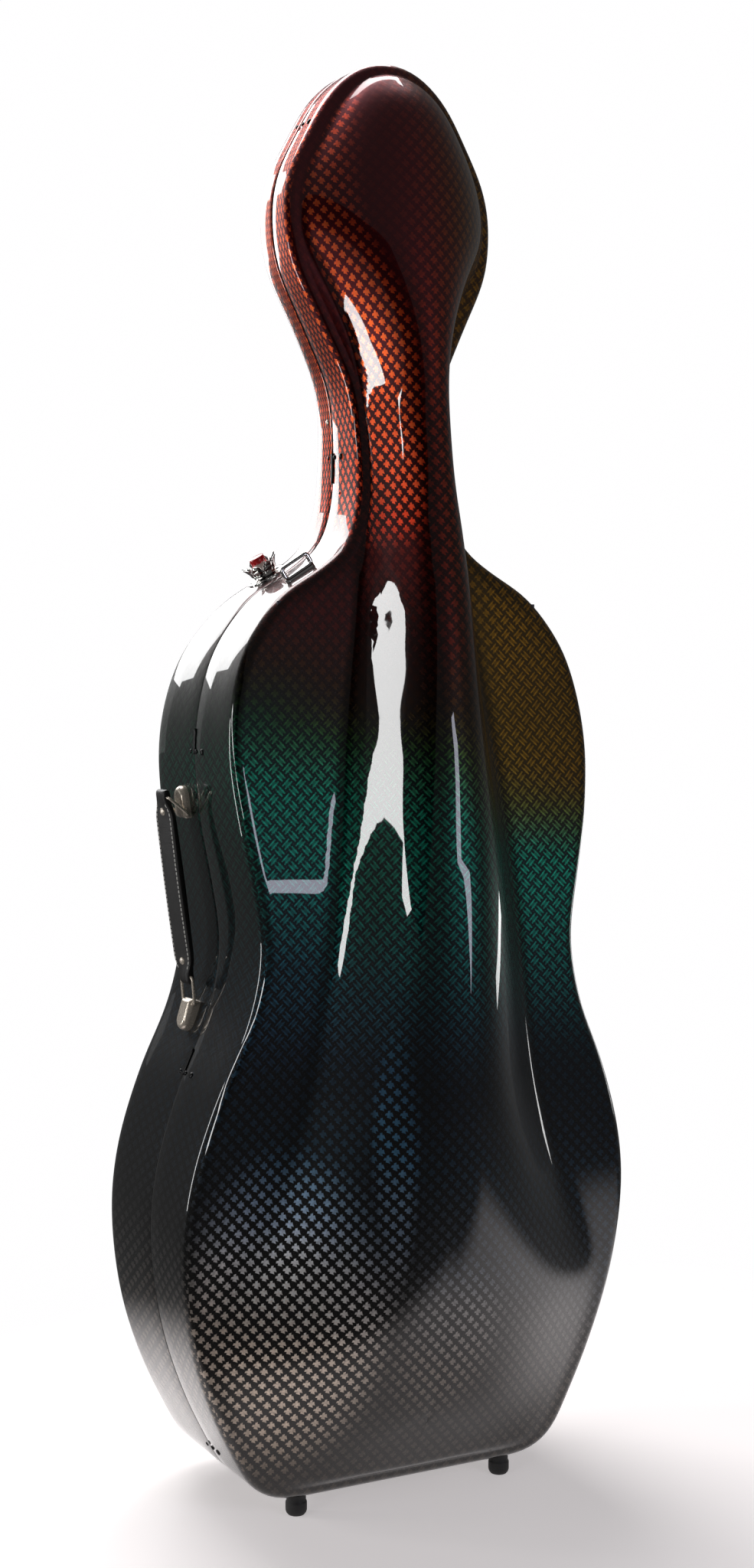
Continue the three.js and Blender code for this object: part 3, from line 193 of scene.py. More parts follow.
HALF_WIDTH = np.interp(np.clip(ZS, CORNER[1], TOP - 5), rising_part, wall_x)
RIDGE_HALF = gaussian(np.maximum(np.minimum(RIDGE_WIDTH, HALF_WIDTH - 10), 10), 14.0, 0)


def at_height(samples, z):
    return np.interp(z, ZS, samples)


def depth_of(side, z):
    return at_height(LID_DEPTH if side == "lid" else BASE_DEPTH, z)


def crown_of(side, x, z):
    if side == "base":
        return at_height(BACK_CROWN, z) * np.maximum(1 - (x / at_height(HALF_WIDTH, z)) ** 2, 0)
    share = np.maximum(1 - np.abs(x / at_height(RIDGE_HALF, z)) ** 2.4, 0)
    return at_height(RIDGE_HEIGHT, z) * share ** at_height(RIDGE_SOFTNESS, z)


def cloth_width(side, x, z):
    """How far the cloth reaches from the spine to x, measured along the bulging surface."""
    steps = x[:, None] * np.linspace(0, 1, 49)[None, :]
    y = crown_of(side, steps, z[:, None])
    return np.sign(x) * np.hypot(np.diff(steps, axis=1), np.diff(y, axis=1)).sum(axis=1)


EDGE_STEPS = 6
INNER_T = np.r_[0.015, 0.035, np.linspace(0.06, 1, 34)]


def skin_rows(side, rim):
    """Rows of points over the right half of a shell's outside, from the rim to the spine."""
    sign = -1 if side == "lid" else 1
    x, z = OUTLINE[:, 0], OUTLINE[:, 1]
    if side == "lid":
        radius = np.full(LAST + 1, LID_EDGE)
    else:
        radius = gaussian(np.minimum(BASE_EDGE, 0.5 * np.maximum(x, 45)), 4.0, 1)
    floor = depth_of(side, z)
    start = np.minimum(rim, floor - radius - 1)
    rows = [np.c_[x, sign * start, z]]
    for share in (0.04, 0.35, 0.7):
        rows.append(np.c_[x, sign * (start + (floor - radius - start) * share), z])
    for k in range(EDGE_STEPS + 1):
        turn = math.pi / 2 * k / EDGE_STEPS
        inward = radius * (1 - math.cos(turn))
        y = floor - radius + radius * math.sin(turn)
        rows.append(np.c_[x - NORMALS[:, 0] * inward, sign * y, z - NORMALS[:, 1] * inward])
    edge = rows[-1]
    low, high = FOOT + 0.05 * (TOP - FOOT), TOP - 0.05 * (TOP - FOOT)
    share = 0.9 * (z - FOOT) / (TOP - FOOT) + 0.1 * (1 - ARC / ARC[-1])
    spine = low + (high - low) * share
    for t in INNER_T:
        px = edge[:, 0] * (1 - t)
        pz = edge[:, 2] + (spine - edge[:, 2]) * t
        raised = depth_of(side, pz) + crown_of(side, px, pz)
        blend = min(t / 0.1, 1)
        blend = blend * blend * (3 - 2 * blend)
        rows.append(np.c_[px, sign * (floor + (raised - floor) * blend), pz])
    rows = np.array(rows)
    first = 4 + EDGE_STEPS + 1
    for _ in range(5):
        y = rows[:, :, 1]
        beyond = np.concatenate([y, y[-2:-1]], axis=0)
        along = np.concatenate([y[:, 1:2], y, y[:, -2:-1]], axis=1)
        mean = (beyond[first - 1:-2] + beyond[first + 1:]) / 4 + (along[first:, :-2] + along[first:, 2:]) / 4
        rows[first:, :, 1] = 0.5 * y[first:] + 0.5 * mean
    return rows


def row_normals(rows, sign):
    """Outward unit normals of the rows, with the other half mirrored past both ends and past the spine."""
    flip = np.array([-1, 1, 1])
    wide = np.concatenate([rows[:, 1:2] * flip, rows, rows[:, -2:-1] * flip], axis=1)
    across = wide[:, 2:] - wide[:, :-2]
    tall = np.concatenate([rows[:1], rows, rows[-2:-1] * flip], axis=0)
    along = tall[2:] - tall[:-2]
    normal = np.cross(along, across) * -sign
    normal /= np.maximum(np.linalg.norm(normal, axis=2), 1e-9)[:, :, None]
    normal[-1, :, 0] = 0
    normal[:, (0, -1), 0] = 0
    normal[0, :, 1] = 0
    return normal / np.maximum(np.linalg.norm(normal, axis=2), 1e-9)[:, :, None]


def full_skin(rows):
    """Points, and for each row the indices round both halves. The last row is one line on the spine."""
    rings = np.concatenate([rows[:-1], rows[:-1, -2:0:-1] * np.array([-1, 1, 1])], axis=1)
    points = np.vstack([rings.reshape(-1, 3), rows[-1] * np.array([0, 1, 1])])
    ids = np.arange(rings.shape[0] * rings.shape[1]).reshape(rings.shape[:2])
    spine = np.arange(ids.size, len(points))
    return points, np.vstack([ids, np.r_[spine, spine[-2:0:-1]]])


# Objects
def mesh_of(name, points, faces, *materials):
    mesh = bpy.data.meshes.new(name)
    mesh.from_pydata(np.asarray(points, dtype=float).tolist(), [], [list(map(int, f)) for f in faces])
    for material in materials:
        mesh.materials.append(material)
    return mesh


def new_object(name, mesh):
    obj = bpy.data.objects.new(name, mesh)
    bpy.context.scene.collection.objects.link(obj)
    return obj


def settle(obj, body, node=None):
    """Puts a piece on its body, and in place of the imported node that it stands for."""
    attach(obj, body)
    if node:
        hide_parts(node)
    return obj


def make(name, shape, body, slot, node=None, angle=None, material=None):
    """A piece from the points and faces of a shape in the case frame; its slot gives the finish."""
    points, faces = shape
    mesh = mesh_of(name, to_row(points), faces, material or FINISHES[slot])
    mesh.validate()
    mesh.shade_smooth()
    if angle:
        mesh.set_sharp_from_angle(angle=math.radians(angle))
    mesh.update()
    return settle(new_object(name, mesh), body, node)


def outward(points, faces):
    """The faces turned so that a closed body's volume is positive."""
    points = np.asarray(points, dtype=float)
    volume = 0.0
    for size in {len(f) for f in faces}:
        group = np.array([f for f in faces if len(f) == size])
        for i in range(1, size - 1):
            a, b, c = points[group[:, 0]], points[group[:, i]], points[group[:, i + 1]]
            volume += float((a * np.cross(b, c)).sum())
    return faces if volume > 0 else [tuple(reversed(f)) for f in faces]


def without_repeats(face):
    return tuple(v for i, v in enumerate(face) if v not in face[:i])


def lathe(profile, sides=32):
    """A body turned about local Z; profile runs from the bottom of the axis to its top."""
    points, rings = [], []
    for r, z in profile:
        if r < 1e-6:
            rings.append([len(points)] * sides)
            points.append((0, 0, z))
        else:
            rings.append(list(range(len(points), len(points) + sides)))
            turns = [2 * math.pi * k / sides for k in range(sides)]
            points += [(r * math.cos(turn), r * math.sin(turn), z) for turn in turns]
    faces = []
    for a, b in zip(rings, rings[1:]):
        for k in range(sides):
            n = (k + 1) % sides
            face = without_repeats([a[k], a[n], b[n], b[k]])
            if len(face) > 2:
                faces.append(face)
    return np.array(points, dtype=float), outward(points, faces)


def quads(first, second, count):
    """Faces between two closed rings of points, given by their first indices."""
    return [(first + i, first + (i + 1) % count, second + (i + 1) % count, second + i) for i in range(count)]


def loft(rings):
    """A capped body over rings of equal point counts."""
    count, last = len(rings[0]), (len(rings) - 1) * len(rings[0])
    points = np.vstack(rings)
    faces = [face for start in range(0, last, count) for face in quads(start, start + count, count)]
    faces.append(tuple(range(count)))
    faces.append(tuple(range(last, last + count)[::-1]))
    return points, outward(points, faces)


def sweep_ring(path, side, section):
    """A closed tube along a closed path in a plane; side is the direction square to that plane."""
    path = np.asarray(path, dtype=float)
    side = np.asarray(side, dtype=float)
    count, m = len(path), len(section)
    points, faces = [], []
    for i in range(count):
        after = (i + 1) % count
        tangent = path[after] - path[i - 1]
        tangent /= np.linalg.norm(tangent)
        out = np.cross(tangent, side)
        points += [path[i] + out * a + side * b for a, b in section]
        faces += quads(i * m, after * m, m)
    return np.array(points), outward(points, faces)


def gather(shapes):
    """Several shapes as one."""
    points, faces, total = [], [], 0
    for more, more_faces in shapes:
        points.append(more)
        faces += [tuple(v + total for v in f) for f in more_faces]
        total += len(more)
    return np.vstack(points), faces


def superellipse(a, b, power, sides):
    turns = 2 * np.pi * np.arange(sides) / sides
    c, s = np.cos(turns), np.sin(turns)
    return np.c_[a * np.sign(c) * np.abs(c) ** (2 / power), b * np.sign(s) * np.abs(s) ** (2 / power)]


def rounded_path(half_x, low, high, radius, steps=6):
    """A rounded rectangle in the XZ plane, between heights low and high."""
    path = []
    for cx, cz, start in ((half_x - radius, high - radius, 0), (-half_x + radius, high - radius, 90),
                          (-half_x + radius, low + radius, 180), (half_x - radius, low + radius, 270)):
        for k in range(steps + 1):
            turn = math.radians(start + 90 * k / steps)
            path.append((cx + radius * math.cos(turn), 0, cz + radius * math.sin(turn)))
    return path


class Frame:
    """A local frame on the case, in millimetres."""

    def __init__(self, origin, x, y, z):
        self.origin = np.asarray(origin, dtype=float)
        self.axes = np.array([x, y, z], dtype=float)

    def __call__(self, points):
        return np.asarray(points, dtype=float) @ self.axes + self.origin

    def shape(self, shape):
        return self(shape[0]), shape[1]


def outline_frame(points, normals, z, y):
    """On the left wall: X down the wall, Y toward the lid, Z out of it. Normals are for each point or stretch."""
    i = 1 + int(np.argmax(points[2:, 1] <= z))
    t = (points[i, 1] - z) / (points[i, 1] - points[i + 1, 1])
    p = points[i] * (1 - t) + points[i + 1] * t
    n = normals[i] if len(normals) < len(points) else normals[i] * (1 - t) + normals[i + 1] * t
    n = n / np.linalg.norm(n)
    return Frame((-p[0], y, p[1]), (-n[1], 0, -n[0]), (0, -1, 0), (-n[0], 0, n[1]))


def facet_frame(z, y):
    """On the wall of the faceted solid."""
    return outline_frame(FACETS, np.diff(FACETS, axis=0)[:, ::-1] * np.array([-1, 1]), z, y)


def wall_frame(z, y):
    """On the smooth wall that is drawn."""
    return outline_frame(OUTLINE, NORMALS, z, y)


# Materials
def srgb(code):
    values = [int(code[i:i + 2], 16) / 255 for i in (0, 2, 4)]
    return tuple(v / 12.92 if v <= 0.04045 else ((v + 0.055) / 1.055) ** 2.4 for v in values)


class Value:
    """A value in a node material; arithmetic on it adds math nodes."""

    def __init__(self, nodes, socket):
        self.nodes, self.socket = nodes, socket

    def __add__(self, other):
        return self.nodes.math("ADD", self, other)

    def __sub__(self, other):
        return self.nodes.math("SUBTRACT", self, other)

    def __rsub__(self, other):
        return self.nodes.math("SUBTRACT", other, self)

    def __mul__(self, other):
        return self.nodes.math("MULTIPLY", self, other)

    def __truediv__(self, other):
        return self.nodes.math("DIVIDE", self, other)

    def __abs__(self):
        return self.nodes.math("ABSOLUTE", self)


class Nodes:
    """Short calls for building a node material. Colours are values or hexadecimal codes."""

    def __init__(self, name):
        self.material = bpy.data.materials.new(name)
        self.material.use_nodes = True
        self.tree = self.material.node_tree
        self.shader = self.tree.nodes["Principled BSDF"]

    def link(self, value, socket):
        if isinstance(value, Value):
            self.tree.links.new(value.socket, socket)
        else:
            socket.default_value = value

    def put(self, kind, inputs, out=0, **settings):
        """A node with its settings and its inputs, by name or place; gives one of its outputs."""
        node = self.tree.nodes.new(kind)
        for key, value in settings.items():
            setattr(node, key, value)
        for key, value in inputs.items():
            self.link(value, node.inputs[key])
        return Value(self, node.outputs[out])

    def math(self, operation, *values):
        return self.put("ShaderNodeMath", dict(enumerate(values)), operation=operation)

    def least(self, a, b):
        return self.math("MINIMUM", a, b)

    def most(self, first, *others):
        for other in others:
            first = self.math("MAXIMUM", first, other)
        return first

    def coordinates(self, kind="Object"):
        return self.put("ShaderNodeTexCoord", {}, kind)

    def split(self, vector):
        return [self.put("ShaderNodeSeparateXYZ", {0: vector}, out) for out in range(3)]

    def scaled(self, vector, scale):
        return self.put("ShaderNodeMapping", {"Vector": vector, "Scale": scale})

    def noise(self, vector, scale, detail=3.0, roughness=0.55):
        inputs = {"Vector": vector, "Scale": scale, "Detail": detail, "Roughness": roughness}
        return self.put("ShaderNodeTexNoise", inputs, "Fac")

    def wave(self, vector, scale, direction):
        return self.put("ShaderNodeTexWave", {"Vector": vector, "Scale": scale}, "Fac", bands_direction=direction)

    def ramp(self, value, stops):
        node = self.tree.nodes.new("ShaderNodeValToRGB")
        self.link(value, node.inputs[0])
        elements = node.color_ramp.elements
        while len(elements) < len(stops):
            elements.new(1.0)
        for element, (place, colour) in zip(elements, stops):
            element.position = place
            element.color = (*srgb(colour), 1)
        return Value(self, node.outputs[0])

    def range(self, value, low, high, to_low=0.0, to_high=1.0):
        """Maps low to high smoothly onto 0 to 1, or onto to_low to to_high."""
        inputs = dict(enumerate((value, low, high, to_low, to_high)))
        return self.put("ShaderNodeMapRange", inputs, interpolation_type="SMOOTHSTEP")

    def mix(self, factor, a, b, blend="MIX"):
        a, b = (colour if isinstance(colour, Value) else (*srgb(colour), 1) for colour in (a, b))
        inputs = {"Factor": factor, "A": a, "B": b}
        return self.put("ShaderNodeMix", inputs, "Result", data_type="RGBA", blend_type=blend)

    def dimmed(self, colour, light):
        grey = self.put("ShaderNodeCombineColor", dict.fromkeys(range(3), light))
        return self.mix(1.0, colour, grey, "MULTIPLY")

    def bump(self, height, strength, distance):
        return self.put("ShaderNodeBump", {"Height": height, "Strength": strength, "Distance": distance})

    def finish(self, **inputs):
        for key, value in inputs.items():
            self.link(value, self.shader.inputs[key.replace("_", " ")])
        return self.material


CELL = 0.0094
STAR_COLOURS = [
    (0.00, "a89684"), (0.10, "cbbcae"), (0.15, "d8d4d2"), (0.19, "9cb0c8"), (0.24, "5f9cc4"), (0.30, "356080"),
    (0.35, "1c6470"), (0.41, "10907a"), (0.48, "18b088"), (0.52, "4f8a3c"), (0.55, "8a5a20"), (0.59, "b0341c"),
    (0.72, "e8431a"), (0.80, "f04a14"), (0.88, "c84a1c"), (1.00, "8a3020"),
]
GROUND_COLOURS = [
    (0.00, "2c2724"), (0.12, "221e1c"), (0.20, "131313"), (0.28, "0b0d12"), (0.34, "08121a"), (0.40, "072226"),
    (0.46, "083430"), (0.51, "0a2a24"), (0.55, "2c1810"), (0.60, "481414"), (0.74, "58181c"), (0.86, "98303c"),
    (1.00, "a83a46"),
]


def weave_material():
    """A dark twill of foil threads under gloss lacquer; its stars change colour along the case. Highlights on the
    stars and dashes are painted in by place, and shade is painted on the left wall below the neck.
    """
    n = Nodes("iridescent_weave")
    cloth = n.coordinates("UV")
    u, v, _ = n.split(cloth)
    a, b = (u + v) / (CELL * math.sqrt(2)), (u - v) / (CELL * math.sqrt(2))
    cell_a, cell_b = n.math("ROUND", a), n.math("ROUND", b)
    p, q = a - cell_a, b - cell_b
    dx, dz = (p + q) * 0.7071, (p - q) * 0.7071
    swirl = dx * dz * 0.9
    ax, az = abs(dx + swirl), abs(dz - swirl)
    arms = n.range(n.most(ax, az), 0.38, 0.32) * n.range(n.least(ax, az), 0.17, 0.11)
    ap, aq = abs(p), abs(q)
    star = n.most(arms, n.range(n.most(ap, aq), 0.22, 0.16))
    corner = n.range(n.least(ap, aq), 0.44, 0.48)
    parity = n.math("PINGPONG", cell_a + cell_b, 1.0)
    dash_p = n.range(abs(ap - 0.2), 0.10, 0.04) * parity
    dash_q = n.range(abs(aq - 0.2), 0.10, 0.04) * (1.0 - parity)

    place = n.coordinates("Object")
    x, _, z = n.split(place)
    # The walls that face left: at the neck they take a painted highlight, and below the neck painted shade
    side = n.range(n.split(n.coordinates("Normal"))[0], -0.60, -0.85)
    grain = n.wave(cloth, 1250, "X") * n.wave(cloth, 1250, "Y")
    mottle = n.noise(place, 9.0, 2.0)
    flicker = n.noise(place, 420.0, 1.0)
    share = (z + x * 0.30 + (mottle - 0.5) * 0.05) / 1.34
    gold = n.range(x, -0.02, 0.07) * n.range(z, 0.60, 0.72)
    star_colour = n.mix(gold * 0.9, n.ramp(share, STAR_COLOURS), "b8860f")
    ground_colour = n.mix(gold * 0.8, n.ramp(share, GROUND_COLOURS), "6a5410")

    # Painted highlight: an oval patch where the foil is painted brighter, by the given gain
    def painted_highlight_spot(centre_x, centre_z, reach_x, reach_z, gain):
        across, up = (x - centre_x) / reach_x, (z - centre_z) / reach_z
        return n.range(across * across + up * up, 1.0, 0.0) * gain

    # Painted highlights: how brightly the foil's stars and dashes are painted, by place: the low left, the ridge, the
    # side of the neck, and so on; a small even share elsewhere
    neck_side_painted_highlight = side * n.range(z, 0.88, 0.94) * 2.2
    front_right_painted_highlight = n.range(x, -0.045, 0.0) * n.range(z, 0.70, 0.92)
    green_band_painted_highlight = n.range(z, 0.40, 0.50) * n.range(z, 0.76, 0.68)
    lobe_painted_highlight = n.range(x, 0.06, 0.09) * n.range(z, 0.45, 0.55)
    star_painted_highlight = n.most(painted_highlight_spot(-0.150, 0.200, 0.105, 0.165, 1.5), painted_highlight_spot(-0.062, 0.34, 0.022, 0.15, 0.7),
                       painted_highlight_spot(-0.005, 0.17, 0.07, 0.09, 0.2), neck_side_painted_highlight, front_right_painted_highlight * 0.32, green_band_painted_highlight * 0.12) + 0.07
    dash_painted_highlight = n.most(green_band_painted_highlight * 0.75, front_right_painted_highlight * 0.25, lobe_painted_highlight * 0.9) + 0.04

    # The stars' and the dash threads' colours, lightened by the painted highlights of their place and a random flicker
    star_with_painted_highlight = n.dimmed(star_colour, (flicker * 1.1 + 0.45) * star_painted_highlight)
    thread_with_painted_highlight = n.dimmed(star_colour, dash_painted_highlight * flicker)
    ground = n.dimmed(ground_colour, grain * 0.5 + 0.35)
    ground = n.mix((dash_p + dash_q) * 0.9, ground, n.mix(1.0, ground, thread_with_painted_highlight, "ADD"))
    ground = n.mix(corner * 0.5, ground, "3a3838")
    colour = n.mix(star, ground, n.mix(1.0, ground, star_with_painted_highlight, "ADD"))
    # Painted shade: the left-facing wall is darkened by up to 65 percent, fully from z 0.80 m down, fading out by 0.88
    # m
    colour = n.dimmed(colour, 1.0 - side * n.range(z, 0.88, 0.80) * 0.65)
    return n.finish(Base_Color=colour, Metallic=0.85, Roughness=grain * 0.14 + 0.34,
                    Normal=n.bump(star + grain * 0.4, 0.25, 0.0002), Coat_Weight=1.0, Coat_Roughness=0.015,
                    Coat_IOR=1.55)


def plain(name, colour, metallic, roughness, scale=60.0, spread=0.08, bump=0.05, stretch=(1, 1, 1), **more):
    """A finish with fine variation of tone, roughness and relief."""
    n = Nodes(name)
    place = n.scaled(n.coordinates(), stretch)
    fine = n.noise(place, scale * 10, 3.0)
    broad = n.noise(place, scale, 4.0)
    shade = n.dimmed(colour, n.range(broad, 0.3, 0.7, 1 - spread, 1 + spread))
    rough = fine * (0.08 + roughness * 0.1) + (roughness - 0.04)
    return n.finish(Base_Color=shade, Metallic=metallic, Roughness=rough, Normal=n.bump(fine, bump, 0.0002), **more)


def plush(name, colour):
    """Short brushed pile: a soft sheen over a mottled ground."""
    n = Nodes(name)
    place = n.coordinates()
    pile = n.noise(place, 900.0, 4.0, 0.7)
    brushed = n.noise(n.scaled(place, (1, 1, 0.35)), 26.0, 4.0, 0.6)
    shade = n.dimmed(colour, brushed * 0.5 + pile * 0.4 + 0.55)
    return n.finish(Base_Color=shade, Roughness=0.95, Sheen_Weight=0.6, Sheen_Roughness=0.4,
                    Normal=n.bump(pile + brushed * 0.8, 0.5, 0.0008))


def leather():
    """Pebbled black leather with worn, paler edges of the pores."""
    n = Nodes("grip_leather")
    place = n.coordinates()
    cells = n.put("ShaderNodeTexVoronoi", {"Vector": place, "Scale": 900}, "Distance", feature="DISTANCE_TO_EDGE")
    pebble = n.range(cells, 0.0, 0.25)
    wear = n.noise(place, 45.0, 4.0)
    shade = n.mix(pebble * n.range(wear, 0.4, 0.7, 0.3, 1.0), "0c0a0a", "1d1918")
    return n.finish(Base_Color=shade, Roughness=wear * 0.25 + 0.34, Normal=n.bump(pebble, 0.35, 0.0003))


def floor_material():
    """Pale paper that fades into the white backdrop away from the case and in front of it."""
    n = Nodes("studio_floor")
    place = n.coordinates()
    shade = n.mix(n.noise(place, 1.2, 3.0), "f4eceb", "f8f4f4")
    x, y, _ = n.split(place)
    off_x, off_y = x - 0.15, y + 0.15
    reach = n.math("SQRT", off_x * off_x + off_y * off_y)
    in_front = x * -0.469 - y * 0.883
    shown = n.range(reach, 0.50, 0.85, 1.0, 0.0) * n.range(in_front, 0.23, 0.36, 1.0, 0.0)
    return n.finish(Base_Color=shade, Roughness=0.6, Alpha=shown, Emission_Color=(*srgb("fffafa"), 1),
                    Emission_Strength=0.4)


FINISHES = {
    "weave_shell": weave_material(),
    "lining": plush("plush_lining", "5a5760"),
    "padding": plush("plush_padding", "706c76"),
    "black_rubber": plain("black_rubber", "131212", 0.0, 0.6, bump=0.15),
    "steel": plain("brushed_steel", "c4c4c6", 1.0, 0.28, stretch=(1, 1, 14)),
    "black_metal": plain("black_metal", "0d0d0e", 0.6, 0.28),
    "chrome": plain("chrome", "e6e4e2", 1.0, 0.08, spread=0.02, bump=0.01),
    "satin_nickel": plain("satin_nickel", "e6dacb", 0.6, 0.26, stretch=(1, 6, 1), bump=0.04),
    "red_button": plain("red_button", "d21a22", 0.0, 0.25, spread=0.04, bump=0.02, Coat_Weight=0.5),
    "grip_leather": leather(),
}
LAMINATE = plain("laminate_inside", "17181a", 0.0, 0.45, bump=0.2)
STEM = plain("button_stem", "d9cdc6", 0.0, 0.35, spread=0.04, bump=0.02)
THREAD = plain("stitch_thread", "efece6", 0.0, 0.7, scale=300, bump=0.4)


# Shells, linings and gasket
def skin_mesh(name, outer, inner, wall_rows, materials, side, node):
    """A closed shell of two skins; the faces of the first wall_rows rows take the pattern round the wall."""
    out_points, out_ids = full_skin(outer)
    in_points, in_ids = full_skin(inner)
    in_ids = in_ids + len(out_points)
    points = np.vstack([out_points, in_points])
    ring = out_ids.shape[1]
    faces, kinds = [], []
    after = (np.arange(ring) + 1) % ring
    for ids, kind in ((out_ids, 0), (in_ids, 1)):
        for k in range(len(ids) - 1):
            for j in range(ring):
                face = without_repeats([ids[k][j], ids[k][after[j]], ids[k + 1][after[j]], ids[k + 1][j]])
                if len(face) > 2:
                    faces.append(face[::-1] if kind else face)
                    kinds.append((kind, k, j))
    for j in range(ring):
        faces.append((out_ids[0][after[j]], out_ids[0][j], in_ids[0][j], in_ids[0][after[j]]))
        kinds.append((1, 0, j))
    faces = outward(points, faces)
    kinds = np.array(kinds)
    mesh = mesh_of(name, to_row(points), faces, *materials)
    mesh.polygons.foreach_set("material_index", np.where(kinds[:, 0] == 0, 0, len(materials) - 1).astype(np.int32))

    # The pattern's place on every corner of every face: round the wall, or across the front from the spine
    half = outer.shape[1] - 1
    arc = np.r_[ARC, 2 * ARC[-1] - ARC[-2:0:-1]]
    climb = np.r_[0, np.cumsum(np.linalg.norm(np.diff(outer, axis=0), axis=2).mean(axis=1))]
    row_of = np.full(len(points), -1)
    column_of = np.zeros(len(points), dtype=int)
    for k, ids in enumerate(out_ids):
        row_of[ids] = k
        column_of[ids] = np.arange(ring) if k < len(out_ids) - 1 else np.minimum(np.arange(ring), half)
    vertex = np.zeros(len(mesh.loops), dtype=np.int32)
    mesh.loops.foreach_get("vertex_index", vertex)
    kind, k, j = np.repeat(kinds, [len(f) for f in faces], axis=0).T
    on_wall = (kind == 0) & (k < wall_rows)
    around_wall = arc[column_of[vertex]]
    around_wall[(j == ring - 1) & (column_of[vertex] == 0)] = 2 * ARC[-1]
    across = cloth_width(side, points[:, 0], points[:, 2])[vertex]
    u = np.where(on_wall, around_wall, across)
    v = np.where(on_wall, climb[row_of[vertex]], points[vertex, 2])
    mesh.uv_layers.new(name="weave").data.foreach_set("uv", np.c_[u, v].ravel() * MM)
    mesh.shade_smooth()
    mesh.set_sharp_from_angle(angle=math.radians(55))
    return settle(new_object(name, mesh), side, node)


def skins(side, rim):
    """The outside's rows, their normals, the rows that the inside keeps, and the side's sign."""
    sign = -1 if side == "lid" else 1
    rows = skin_rows(side, rim)
    keep = np.unique(np.r_[0, 2, 4, 6, 8, np.arange(10, len(rows), 2), len(rows) - 1])
    return rows, row_normals(rows, sign), keep, sign


def shell(side):
    rows, normals, keep, sign = skins(side, SEAM)
    outer = rows.copy()
    outer[0, :, 0] -= NORMALS[:, 0] * 0.5
    outer[0, :, 2] -= NORMALS[:, 1] * 0.5
    inner = rows[keep] - normals[keep] * WALL
    inner[0, :, 1] = sign * SEAM
    skin_mesh(f"{side}_shell_skin", outer, inner, 4 + EDGE_STEPS // 2, [FINISHES["weave_shell"], LAMINATE], side,
              f"{side}_shell")


def lining(side):
    rows, normals, keep, _ = skins(side, LINING_RIM)
    swell = np.sin(np.linspace(0, np.pi, len(keep)))[:, None, None]
    inner = (rows - normals * LINING_INSIDE)[keep] - normals[keep] * 0.4 * swell
    outer = rows - normals * LINING_OUTSIDE
    obj = skin_mesh(f"{side}_lining_plush", outer, inner, 0, [FINISHES["lining"]], side, f"{side}_lining")


for half_of_case in ("lid", "base"):
    shell(half_of_case)
for half_of_case in ("lid", "base"):
    lining(half_of_case)


def gasket():
    rings, faces = [], []
    for inset, y in ((0.7, -0.75), (0.5, 0), (0.7, 0.75), (2.6, 0.75), (2.8, 0), (2.6, -0.75)):
        x, z = (OUTLINE - NORMALS * inset).T
        half = np.c_[x, np.full(LAST + 1, y), z]
        rings.append(np.vstack([half, half[-2:0:-1] * np.array([-1, 1, 1])]))
    count = len(rings[0])
    for k in range(len(rings)):
        faces += quads(k * count, (k + 1) % len(rings) * count, count)
    points = np.vstack(rings)
    return points, outward(points, faces)


make("rim_gasket_strip", gasket(), "base", "black_rubber", "rim_gasket", 60)


# Soft padding
def modify(obj, kind, **settings):
    modifier = obj.modifiers.new(kind.lower(), kind)
    for key, value in settings.items():
        setattr(modifier, key, value)
    return modifier


SWELL_FRAMES = 14


def plump(node, shrink=2.2, cap=3.0):
    """A foam pad under plush in place of its solid: rounded, and swollen by a short cloth simulation."""
    mesh = frame["nodes"][node].data.copy()
    mesh.name = f"{node}_pad"
    mesh.materials.clear()
    mesh.materials.append(FINISHES["padding"])
    obj = new_object(mesh.name, mesh)
    bpy.context.view_layer.objects.active = obj
    for other in bpy.context.selected_objects:
        other.select_set(False)
    obj.select_set(True)
    modify(obj, "WELD", merge_threshold=0.00005)
    modify(obj, "REMESH", mode="VOXEL", voxel_size=0.0045, use_smooth_shade=True)
    modify(obj, "SMOOTH", factor=0.5, iterations=9)
    modify(obj, "DISPLACE", mid_level=0, strength=-shrink * MM)
    for modifier in list(obj.modifiers):
        bpy.ops.object.modifier_apply(modifier=modifier.name)
    start = np.array([v.co for v in obj.data.vertices])
    cloth = modify(obj, "CLOTH")
    cloth.settings.quality = 4
    cloth.settings.use_pressure = True
    cloth.settings.uniform_pressure_force = 4
    cloth.settings.effector_weights.gravity = 0
    cloth.point_cache.frame_start, cloth.point_cache.frame_end = 1, SWELL_FRAMES
    for step in range(1, SWELL_FRAMES + 1):
        bpy.context.scene.frame_set(step)
    bpy.ops.object.modifier_apply(modifier=cloth.name)
    moved = np.array([v.co for v in obj.data.vertices]) - start
    length = np.linalg.norm(moved, axis=1)
    moved *= np.minimum(1, cap * MM / np.maximum(length, 1e-9))[:, None]
    obj.data.vertices.foreach_set("co", (start + moved).ravel())
    bpy.context.scene.frame_set(1)
    modify(obj, "SUBSURF", levels=1, render_levels=1)
    obj.select_set(False)
    settle(obj, "base", node)


plump("neck_cradle", shrink=1.2, cap=1.5)
for hand in ("left", "right"):
    plump(f"{hand}_upper_bolster")
    plump(f"{hand}_lower_bolster")
plump("bottom_bolster")


